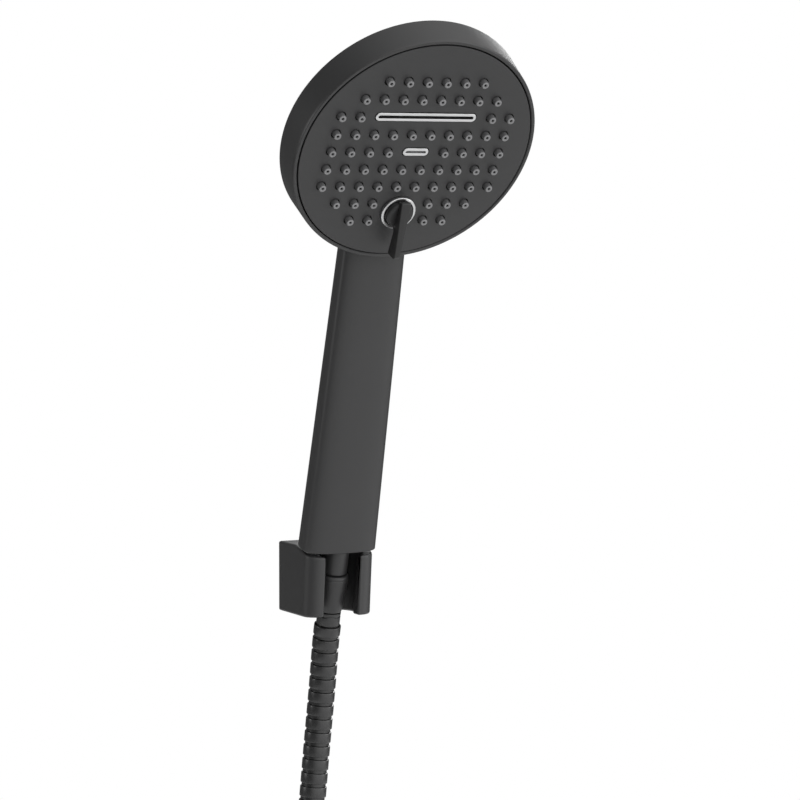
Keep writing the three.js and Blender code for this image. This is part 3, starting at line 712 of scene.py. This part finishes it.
class ShowerFinish(bpy.types.PropertyGroup):
    """Colours and surface of the visible materials."""

    black: bpy.props.FloatVectorProperty(
        name="Black", description="Colour of the black mouldings", subtype="COLOR",
        default=(0.0235, 0.0235, 0.0240), min=0, max=1)
    silicone: bpy.props.FloatVectorProperty(
        name="Nozzles", description="Colour of the silicone nozzles", subtype="COLOR",
        default=(0.105, 0.105, 0.107), min=0, max=1)
    plating: bpy.props.FloatVectorProperty(
        name="Plating", description="Colour of the plated inserts and ring", subtype="COLOR",
        default=(0.6, 0.602, 0.605), min=0, max=1)
    roughness: bpy.props.FloatProperty(
        name="Roughness", description="Roughness of the black mouldings", subtype="FACTOR",
        default=0.44, min=0.05, max=1)
    grain: bpy.props.FloatProperty(
        name="Grain", description="Depth of the moulded grain", subtype="FACTOR", default=0.22, min=0, max=1)


class ShowerSizes(bpy.types.PropertyGroup):
    """Sizes of the repeated and flexible pieces."""

    pitch: bpy.props.FloatProperty(
        name="Nozzle pitch", description="Distance between neighbouring nozzles", unit="LENGTH",
        default=0.0095)
    tip_radius: bpy.props.FloatProperty(
        name="Nozzle tip radius", description="Radius of a nozzle at its tip", unit="LENGTH", default=0.0017)
    hose_diameter: bpy.props.FloatProperty(
        name="Hose diameter", description="Outside diameter of the metal hose", unit="LENGTH", default=0.0133)
    hose_length: bpy.props.FloatProperty(
        name="Hose length", description="Length of the metal hose", unit="LENGTH", default=1.6)
    strip: bpy.props.FloatProperty(
        name="Hose ring spacing", description="Distance between the hose's rings", unit="LENGTH",
        default=0.00686)
    edge: bpy.props.FloatProperty(
        name="Bracket edge", description="Rounding of the bracket's edges", unit="LENGTH", default=0.0012)


# ---------------------------------------------------------------- operators


class SHOWER_OT_stage(bpy.types.Operator):
    """Camera, lights, and a plain pale floor well under the hanging hose"""

    bl_idname = "shower.stage"
    bl_label = "Stage"

    def execute(self, context):
        scene = context.scene
        camera = bpy.data.objects.new("camera", bpy.data.cameras.new("camera"))
        camera.location = CAMERA["place"]
        camera.rotation_euler = (math.radians(CAMERA["tilt"]), 0, math.radians(CAMERA["turn"]))
        camera.data.lens, camera.data.sensor_width = CAMERA["lens"], CAMERA["sensor"]
        scene.collection.objects.link(camera)
        scene.camera = camera
        scene.view_settings.view_transform = "Standard"
        scene.world = scene.world or bpy.data.worlds.new("studio")
        self.light_room(scene.world)
        for name, setting in LAMPS.items():
            scene.collection.objects.link(self.lamp(name, *setting))

        turn = whole_turn(96)
        edge = FLOOR["radius"] * np.stack([np.cos(turn), np.sin(turn), 0 * turn], -1)
        edge[:, 2] = FLOOR["level"]
        floor = loose_object("floor", mesh_of("floor", [(edge, [np.arange(len(edge))[None]])]))
        floor.data.materials.append(grained(
            "pale_floor", (0.92, 0.92, 0.92, 1), (0.9, 0.9, 0.9, 1), wear=0.0, drift=0.02, scale=300.0,
            depth=0.02, roughness=0.8, spread=0.05))
        return {"FINISHED"}

    @staticmethod
    def light_room(world):
        """White background, and for every other ray the sum of the room's soft lights: each rises
        smoothly from its low to its high strength with the cosine between the ray and its direction."""
        world.use_nodes = True
        tree = world.node_tree
        tree.nodes.clear()
        way = linked(tree, "ShaderNodeTexCoord").outputs["Generated"]
        glows = []
        for direction, (start, full), (low, high) in ROOM_LIGHTS:
            toward = linked(tree, "ShaderNodeVectorMath", (0, way), (1, direction), operation="DOT_PRODUCT")
            glows.append(linked(tree, "ShaderNodeMapRange", ("Value", toward.outputs["Value"]),
                                ("From Min", start), ("From Max", full), ("To Min", low), ("To Max", high),
                                interpolation_type="SMOOTHSTEP").outputs[0])
        white = ("Color", (1, 1, 1, 1))
        seen = linked(tree, "ShaderNodeBackground", white, ("Strength", 1.0))
        fill = linked(tree, "ShaderNodeBackground", white, ("Strength", maths(tree, "ADD", *glows)))
        rays = linked(tree, "ShaderNodeLightPath")
        both = linked(tree, "ShaderNodeMixShader", (0, rays.outputs["Is Camera Ray"]), (1, fill.outputs[0]),
                      (2, seen.outputs[0]))
        linked(tree, "ShaderNodeOutputWorld", ("Surface", both.outputs[0]))

    @staticmethod
    def lamp(name, spot, size, power):
        """Square lamp that faces the object."""
        light = bpy.data.lights.new(name, "AREA")
        light.shape, light.size, light.energy = "SQUARE", size, power
        lamp = bpy.data.objects.new(name, light)
        lamp.location = spot
        x, y, z = np.array(spot) - AIM
        lamp.rotation_euler = (math.atan2(math.hypot(x, y), z), 0, math.atan2(x, -y))
        return lamp


class SHOWER_OT_hose_ends(bpy.types.Operator):
    """Swaged tails at both ends of the hose, and the hexagon nut that joins it to the outlet"""

    bl_idname = "shower.hose_ends"
    bl_label = "Hose ends"

    def execute(self, context):
        metal = black_coated_metal(context.scene.shower_finish)
        upper = softened([(2.2, -27.4), (4.5, -27.4), (4.5, -30.7), (3.6, -30.7), (3.6, -33.1),
                          (5.8, -33.1), (5.8, -34.6), (5.45, -34.8), (5.45, -35.2), (5.8, -35.4),
                          (5.8, -39.8), (2.2, -39.8)], 0.25, closed=True)
        finish_piece("hose_tail_top", [turned(upper, HANDSET, 72, "z", wrap=True)], metal, "handset",
                     ("hose_tail_upper",))

        end = Place(0.0, hose_line()[-1] * MM)
        lower = softened([(4, -23.3), (9.1, -23.3), (9.1, -20.8), (5.8, -20.8), (5.8, -16), (7.1, -15.4),
                          (7.1, -9.2), (6.7, -8.8), (6.7, -8.2), (7.1, -7.8), (7.1, -0.3), (4, -0.3)],
                         0.35, closed=True)
        finish_piece("hose_tail_bottom", [turned(lower, end, 72, "z", wrap=True)], metal, "handset",
                     ("hose_tail_lower",))
        finish_piece("outlet_nut", [self.hexagon(end)], metal, "hex_nut", ("hex_nut",), 30)
        return {"FINISHED"}

    @staticmethod
    def hexagon(place):
        """Nut, turned about its axis with the outside radius min(f / cos(a mod 60 - 30), cone): six
        flats at the distance f, cut by a cone at both ends. The last rows go back up the bore."""
        n = HEX_NUT
        bottom, top = n["bottom"], n["top"]
        a = whole_turn(144)
        hexagon = n["flat"] / np.cos((a + np.pi / 6) % (np.pi / 3) - np.pi / 6)
        bands = np.array([0, 0.35, 0.7, 1.1, 1.6, 2.2, 7.0])
        z = np.concatenate([bottom + bands, (top - bands[:-1])[::-1]])
        depth = np.clip(np.minimum(z - bottom, top - z) / n["cone_depth"], 0, 1)
        cone = n["cone"] + (n["corner"] - n["cone"]) * np.sqrt(depth)
        outside = np.minimum(hexagon[None, :], cone[:, None])
        bore = softened([(12, top), (6.2, top), (6.2, -20.5), (9.6, -20.5), (9.6, -30.4), (10.1, bottom)],
                        0.3)[1:]
        r = np.vstack([outside, np.repeat(bore[:, :1], len(a), axis=1)])
        z = np.concatenate([z, bore[:, 1]])
        rows = np.stack([r * np.cos(a), r * np.sin(a), np.repeat(z[:, None], len(a), axis=1)], -1)
        return shell(place(rows), wrap_rows=True)


class SHOWER_OT_coil_ties(bpy.types.Operator):
    """Rubber straps round the wound turns, each with a raised buckle"""

    bl_idname = "shower.coil_ties"
    bl_label = "Coil ties"

    def execute(self, context):
        for node, name in (("coil_tie_top", "tie_top"), ("coil_tie_bottom", "tie_bottom")):
            finish_piece(name, [self.strap(node)], rubber(), "handset", (node,))
        return {"FINISHED"}

    @staticmethod
    def strap(node):
        """Band: a rounded section (across x, out) carried round a stadium in y and z. The buckle is the
        same stadium's flat side, thickened by a smooth hump cos^2."""
        low, high = (np.array(corner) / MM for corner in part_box(node))
        radius = (high[2] - low[2]) / 2 - TIE["inset"]
        half = (high[1] - low[1]) / 2 - TIE["inset"] - radius
        w, thick = TIE["half_width"], TIE["thickness"]
        section = softened([(-w, -thick), (w, -thick), (w, 0.0), (-w, 0.0)], 0.45, 3, closed=True)
        flat = np.linspace(-1, 1, 24)[1:-1]
        turn = np.linspace(-np.pi / 2, np.pi / 2, 32)
        level = np.full(len(flat), np.pi / 2)
        y = np.concatenate([half + 0 * turn, -half * flat, -half + 0 * turn, half * flat])
        angle = np.concatenate([turn, level, turn + np.pi, 3 * level])
        hump = np.zeros_like(y)
        buckle = TIE["buckle"] * np.cos(np.clip(2 * flat, -1, 1) * np.pi / 2) ** 2
        hump[len(turn):len(turn) + len(flat)] = buckle
        out = radius + section[None, :, 1] + hump[:, None] * (section[None, :, 1] > -thick / 2)
        rows = np.stack([np.broadcast_to(section[None, :, 0], out.shape),
                         y[:, None] + out * np.cos(angle)[:, None], out * np.sin(angle)[:, None]], -1)
        return shell(ROW(rows + box_middle(node) / MM), wrap_rows=True)


class SHOWER_OT_hose(bpy.types.Operator):
    """Metal hose of interlocking rings, hanging from the handset and wound into a tied coil"""

    bl_idname = "shower.hose"
    bl_label = "Metal hose"

    def execute(self, context):
        finish, sizes = context.scene.shower_finish, context.scene.shower_sizes
        rows, centre, share = hose_rings(hose_line(), sizes.hose_diameter / MM / 2, sizes.strip / MM)
        mesh = mesh_of("hose", [shell(ROW(rows))])
        # mask of the painted groove shade: 0 in the deepest groove, 1 on the crown
        groove = STRIP[:, 1].min()
        crown = np.repeat((share - groove) / (1 - groove), rows.shape[1])
        point_values(mesh, "crown", np.append(crown, [0, 0]))  # the middles of the two end fans come last
        hose = finish_piece("hose", mesh, hose_black_groove_shade(finish), "handset",
                            ("hose_tube", "hose_coil", "hose_end_tube"), 60)
        tuple(ROW(centre[0]))
        ROW(centre).tolist()
        return {"FINISHED"}


class SHOWER_OT_handset_body(bpy.types.Operator):
    """Head and handle in one moulding, with the recess for the spray face"""

    bl_idname = "shower.handset_body"
    bl_label = "Handset body"

    def execute(self, context):
        d, h = DISC, HANDLE
        front, back = d["plate_y"], d["back_y"]
        bowl = softened([(0, front), (d["rim_radius"] - 0.1, front), (d["rim_radius"] + 0.18, front + 1.2),
                         (d["radius"], back - 0.2), (d["radius"] - 0.3, back), (0, back)],
                        [0, 0.35, 0.5, 0.6, 0.6, 0], 6)
        cup = [(0, -5), (d["inner"] + 0.35, -5), (d["inner"] + 0.35, front), (d["inner"], front + 0.4),
               (d["inner"], d["floor_y"]), (0, d["floor_y"])]
        neck_hole = [(0, -5), (7.1, -5), (7.1, 0), (6.7, 0.4), (6.7, 5), (0, 5)]
        mesh = carved(turned(bowl, HEAD, 224), [
            ("UNION", handle_loft(0, h["tip_at"], 0)),
            ("DIFFERENCE", turned(cup, HEAD, 224)),
            ("DIFFERENCE", handle_loft(h["floor"], h["roof"], h["wall"], around=64, steps=40)),
            ("DIFFERENCE", turned(neck_hole, HANDSET, 72, "z"))])
        finish_piece("handset_body", mesh, black_moulding(context.scene.shower_finish), "handset",
                     ("handset_shell",), 32)
        return {"FINISHED"}


class SHOWER_OT_spray_face(bpy.types.Operator):
    """Pierced face plate, silicone nozzles on their mat, and the two plated flat-spray inserts"""

    bl_idname = "shower.spray_face"
    bl_label = "Spray face"

    def execute(self, context):
        finish, sizes = context.scene.shower_finish, context.scene.shower_sizes
        pitch = sizes.pitch / MM
        places = nozzle_places(pitch)
        front = DISC["plate_y"]

        def circle(x, z, radius, count):
            return lambda d: stadium(x, z, 0, radius + d, count)

        def slot(size):
            z, radius = size["row"] * pitch, size["width"] / 2
            return lambda d: stadium(0, z, size["length"] / 2 - radius, radius + GAP + d, 48)

        slots = [slot(size) for size in SLOTS.values()]
        knob = KNOB_ROW * pitch
        plate = perforated(circle(0, 0, PLATE["radius"], 224),
                           [*[circle(x, z, PLATE["hole"], 24) for x, z in places], *slots,
                            circle(0, knob, PLATE["shaft_hole"], 32)],
                           front, front + PLATE["thickness"], PLATE["bevel"])
        plate = [(HEAD(points), faces) for points, faces in plate]
        finish_piece("spray_plate", mesh_of("spray_plate", plate, weld=True),
                     black_moulding(finish, "black_plate", roughness=0.03), "handset",
                     ("face_plate",), 20)

        mat = perforated(circle(0, 0, MAT["radius"], 96), [*slots, circle(0, knob, MAT["shaft_hole"], 32)],
                         MAT["front"], MAT["back"], MAT["bevel"])
        mat = mesh_of("nozzles", [(HEAD(points), faces) for points, faces in mat], weld=True)
        teats = mesh_of("teats", [self.teat(x, z, sizes.tip_radius / MM) for x, z in places])
        joined = bmesh.new()
        joined.from_mesh(mat)
        joined.from_mesh(teats)
        joined.to_mesh(mat)
        joined.free()
        bpy.data.meshes.remove(teats)
        points = np.empty(3 * len(mat.vertices))
        mat.vertices.foreach_get("co", points)
        depth = ((points.reshape(-1, 3) - HEAD.origin) @ HEAD.turn)[:, 1] / MM
        # painted light: the tips' front faces are painted up to twice as bright, and the nozzle sides and the
        # mat are painted darker (x0.62), standing in for light on the tips and shade below them
        point_values(mat, "tip", np.clip((NOZZLE_TIP_HIGHLIGHT["end"] - depth) / NOZZLE_TIP_HIGHLIGHT["fade"], 0, 1))
        material = shaded_by(soft_grey(finish, "nozzle_tips_painted_light"), "tip", low=0.62, high=2.0)
        finish_piece("nozzles", mat, material, "handset", ("nozzle_mat",), 35)

        for node, size in SLOTS.items():
            name = node.replace("_insert", "_mouth")
            finish_piece(name, [self.mouth(pitch, **size)], satin_plating(finish), "handset",
                         (node,), 30)
        return {"FINISHED"}

    @staticmethod
    def teat(x, z, tip):
        """Nozzle: a cone from the mat to a rounded tip ring with a blind hole in its middle."""
        base = tip + 0.25
        profile = softened([(0, 5.5), (base, 5.5), (base, 4.4), (tip, 0.0), (0.75, 0.0), (0.55, 0.5),
                            (0.5, 2.2), (0, 2.2)], [0, .1, .3, .38, .22, .1, .1, 0], 2)
        return turned(profile, HEAD, 18, shift=(x, 0, z))

    @staticmethod
    def mouth(pitch, row, length, width, lip):
        """Plated ring: a rounded section carried round the slot's outline, which grows by the section's
        own distance from it. The lip is where the ring's inner edge lies behind its rim."""
        radius, rim = width / 2, -SLOT_RIM
        front, back = DISC["plate_y"] - SLOT_PROUD, MAT["back"] + 0.1
        section = softened([(lip, back), (0, back), (0, front), (rim, front), (rim - 0.02, front + 0.9),
                            (lip - 0.01, front + 1.3)], [.1, .1, .4, .3, .2, .1], 4, closed=True)
        rows = [at_depth(stadium(0, row * pitch, length / 2 - radius, radius + grow, 64), y)
                for grow, y in section]
        return shell(HEAD(np.array(rows)), wrap_rows=True)


class SHOWER_OT_selector(bpy.types.Operator):
    """Plated ring and the selector cap with its fin"""

    bl_idname = "shower.selector"
    bl_label = "Spray selector"

    def execute(self, context):
        finish, sizes = context.scene.shower_finish, context.scene.shower_sizes
        z = KNOB_ROW * sizes.pitch / MM
        front = DISC["plate_y"]
        middle, back = (0, 0, z), front - GAP
        ring = softened([(7.1, back), (8.6, back), (8.6, 0.95), (8.3, 0.7), (7.35, 0.7), (7.1, 1.0)],
                        [.08, .08, .2, .2, .2, .2], 3, closed=True)
        finish_piece("selector_ring", [turned(ring, HEAD, 112, shift=middle, wrap=True)],
                     satin_plating(finish), "diverter", ("knob_ring",), 30)
        cap = softened([(0, -2.0), (5.4, -1.75), (6.55, -1.1), (6.9, 1.2), (6.9, back), (0, back)],
                       [0, 1.2, .7, .3, .1, 0], 5)
        hole = [(0, -1.2), (1.25, -1.2), (1.25, 5), (0, 5)]
        mesh = carved(turned(cap, HEAD, 96, shift=middle), [
            ("UNION", self.fin(z)), ("DIFFERENCE", turned(hole, HEAD, 32, shift=middle))])
        # painted shade: the lever's black is darkened to 0.45 of the other mouldings, standing in for the
        # shade on its sides
        black = black_moulding(finish, "black_lever_painted_shade", shade=0.45, roughness=0.02)
        finish_piece("selector_lever", mesh, black, "diverter", ("diverter_lever",), 34)
        return {"FINISHED"}

    @staticmethod
    def fin(z):
        """Fin: its side outline (along, proud) carried across its width, pulled in along its own normal
        by a quarter circle at both sides so that the edges are round, and narrowing evenly to its end."""
        outline = softened([(6.2, 1.0), (8.9, 5.4), (8.4, 6.45), (-17.6, 12.5), (-19.3, 11.4),
                            (-20.45, 4.65), (-7.4, 4.65), (-6.2, 1.0)],
                           [.5, 1.1, 1.0, 1.4, 1.4, 1.1, 1.2, .7], 6, closed=True)
        way = np.roll(outline, -1, axis=0) - np.roll(outline, 1, axis=0)
        normal = np.stack([way[:, 1], -way[:, 0]], -1) / np.linalg.norm(way, axis=1)[:, None]
        along, proud = outline.T
        normal *= np.sign(np.sum(along * np.roll(proud, -1) - np.roll(along, -1) * proud))
        half, edge = FIN["half"], FIN["edge"]
        a = np.linspace(0, np.pi / 2, 5)
        side = half - edge * (1 - np.sin(a))
        across = np.sort(np.concatenate([-side, [0], side]))
        pull = drawn_in(edge, np.abs(across) - (half - edge))
        line = outline[None] - pull[:, None, None] * normal[None]
        taper = 1 - FIN["narrowing"] * (FIN["top"] - line[..., 0]) / FIN["length"]
        rows = np.stack([across[:, None] * taper, DISC["plate_y"] - line[..., 1], z + line[..., 0]], -1)
        points, ring = HEAD(rows).reshape(-1, 3), rows.shape[1]
        return points, outward(points, capped_faces(len(across), ring))


class SHOWER_OT_connection(bpy.types.Operator):
    """Neck under the handle and the cone nut that holds the hose"""

    bl_idname = "shower.connection"
    bl_label = "Hose connection"

    def execute(self, context):
        finish = context.scene.shower_finish
        neck = softened([(3, -24), (4.6, -24), (4.6, -12.7), (6.1, -12.7), (6.4, -12.1), (6.4, 1.2),
                         (5.6, 1.2), (5.6, 2.6), (6.4, 2.6), (6.4, 3.6), (5.9, 4.4), (5.9, 19), (5, 19),
                         (5, 11), (3, 11)], 0.25, 3, closed=True)
        bore = [(0, -30), (3, -30), (3, 12), (0, 12)]
        mesh = carved(turned(neck, HANDSET, 96, "z", wrap=True), [
            ("UNION", handle_loft(4.3, 7.3, HANDLE["wall"] + GAP, around=64, steps=3)),
            ("DIFFERENCE", turned(bore, HANDSET, 48, "z"))])
        finish_piece("handset_neck", mesh, black_moulding(finish), "handset", ("inlet_neck",))
        nut = softened([(4.9, -13.3), (6.7, -13.3), (7.3, -13.8), (7.42, -15.0), (7.2, -15.15), (7.2, -15.45),
                        (7.42, -15.6), (6.4, -29.4), (5.9, -32.6), (3.9, -32.6), (3.9, -31), (4.9, -31)],
                       [.2, .3, .4, .2, .1, .1, .2, .8, .35, .2, .2, .2], 4, closed=True)
        finish_piece("hose_nut", [turned(nut, HANDSET, 112, "z", wrap=True)], black_moulding(finish),
                     "cone_nut", ("cone_nut",), 30)
        return {"FINISHED"}


class SHOWER_OT_bracket(bpy.types.Operator):
    """Wall bracket: a block with rounded front corners, a leaning bore and an open front slot"""

    bl_idname = "shower.bracket"
    bl_label = "Wall bracket"

    def execute(self, context):
        finish, sizes = context.scene.shower_finish, context.scene.shower_sizes
        b = BRACKET
        bore, slot = b["bore"], b["slot_half"]
        sink = [(0, -24), (4.3, -24), (4.3, -7.5), (2.2, -4.7), (2.2, -1.2), (3.6, -1.2), (3.6, 5), (0, 5)]
        cuts = [box_part((-40, -60, -b["drop"]), (40, 20, 40), HANDSET),
                turned([(0, -60), (bore, -60), (bore, 20), (0, 20)], HANDSET, 128, "z"),
                box_part((-slot, -40, -55), (slot, 0, 35), HANDSET),
                *[turned(sink, ROW, 48, shift=(0, 0, z)) for z in b["screw_z"]]]
        mesh = carved(self.block(), [("DIFFERENCE", cut) for cut in cuts])
        tidy = bmesh.new()
        tidy.from_mesh(mesh)
        bmesh.ops.remove_doubles(tidy, verts=tidy.verts, dist=2 * SAME)
        bmesh.ops.dissolve_limit(tidy, angle_limit=math.radians(0.4), verts=tidy.verts, edges=tidy.edges)
        tidy.to_mesh(mesh)
        tidy.free()
        piece = finish_piece("wall_holder", mesh, black_moulding(finish, "black_bracket", roughness=-0.02),
                             "bracket", ("wall_bracket",), 30)
        edge = piece.modifiers.new("edges", "BEVEL")
        edge.width, edge.segments, edge.limit_method = sizes.edge, 3, "ANGLE"
        edge.angle_limit, edge.harden_normals, edge.use_clamp_overlap = math.radians(40), True, False
        return {"FINISHED"}

    @staticmethod
    def block():
        """Block: the plan outline, straight at the wall and round at its two front corners, carried up
        in z. Its depth grows as 1 + lean z, so the front leans out."""
        b = BRACKET
        a = np.linspace(0, np.pi / 2, 28)
        arc = b["corner"] * np.stack([np.cos(a), np.sin(a)], -1)
        x, y = b["half"] - b["corner"], -(b["depth"] - b["corner"])
        right = np.stack([x + arc[:, 0], y - arc[:, 1]], -1)
        left = right[::-1] * (-1, 1)
        plan = np.vstack([(b["half"], 0), right, left, (-b["half"], 0)])
        z = np.array([b["bottom"], b["top"]])
        depth = plan[None, :, 1] * (1 + b["lean"] * z[:, None])
        rows = np.stack([plan[None, :, 0] + 0 * depth, depth, z[:, None] + 0 * depth], -1)
        points = ROW(rows).reshape(-1, 3)
        return points, outward(points, capped_faces(2, len(plan)))


class SHOWER_OT_inner_parts(bpy.types.Operator):
    """Finishes for the parts whose shape comes straight from the frame"""

    bl_idname = "shower.inner_parts"
    bl_label = "Inner parts"

    def execute(self, context):
        finish = context.scene.shower_finish
        makers = {"inner_plastic": (inner_moulding,), "black_rubber": (rubber,),
                  "screw_steel": (screw_steel,), "plug_nylon": (plug_nylon,),
                  "nozzle_silicone": (soft_grey, finish), "satin_plate": (satin_plating, finish),
                  "black_metal": (black_coated_metal, finish), "hose_metal": (black_coated_metal, finish),
                  "black_abs": (black_moulding, finish)}
        for part in frame["record"]["subparts"]:
            node = frame["nodes"][part["node"]]
            if not node.hide_render:
                maker, *given = makers[part["material_slot"]]
                for holder in node.material_slots:
                    holder.material = maker(*given)
        return {"FINISHED"}


class SHOWER_PT_panel(bpy.types.Panel):
    """Lists the settings and the steps"""

    bl_idname = "SHOWER_PT_panel"
    bl_label = "Shower head"
    bl_space_type = "VIEW_3D"
    bl_region_type = "UI"
    bl_category = "Shower"

    def draw(self, context):
        for settings in (context.scene.shower_sizes, context.scene.shower_finish):
            for key in settings.__annotations__:
                self.layout.prop(settings, key)
        for step in STEPS:
            self.layout.operator(step.bl_idname)


STEPS = (SHOWER_OT_stage, SHOWER_OT_hose_ends, SHOWER_OT_coil_ties, SHOWER_OT_hose, SHOWER_OT_handset_body,
         SHOWER_OT_spray_face, SHOWER_OT_selector, SHOWER_OT_connection, SHOWER_OT_bracket,
         SHOWER_OT_inner_parts)
CLASSES = (ShowerFinish, ShowerSizes, *STEPS, SHOWER_PT_panel)


def register():
    for kind in CLASSES:
        bpy.utils.register_class(kind)
    bpy.types.Scene.shower_finish = bpy.props.PointerProperty(type=ShowerFinish)
    bpy.types.Scene.shower_sizes = bpy.props.PointerProperty(type=ShowerSizes)


def unregister():
    del bpy.types.Scene.shower_sizes
    del bpy.types.Scene.shower_finish
    for kind in reversed(CLASSES):
        bpy.utils.unregister_class(kind)


def main():
    register()
    for step in STEPS:
        family, name = step.bl_idname.split(".")
        result = getattr(getattr(bpy.ops, family), name)()
        if result != {"FINISHED"}:
            raise RuntimeError(f"{step.bl_label} did not finish")


if __name__ == "__main__":
    main()
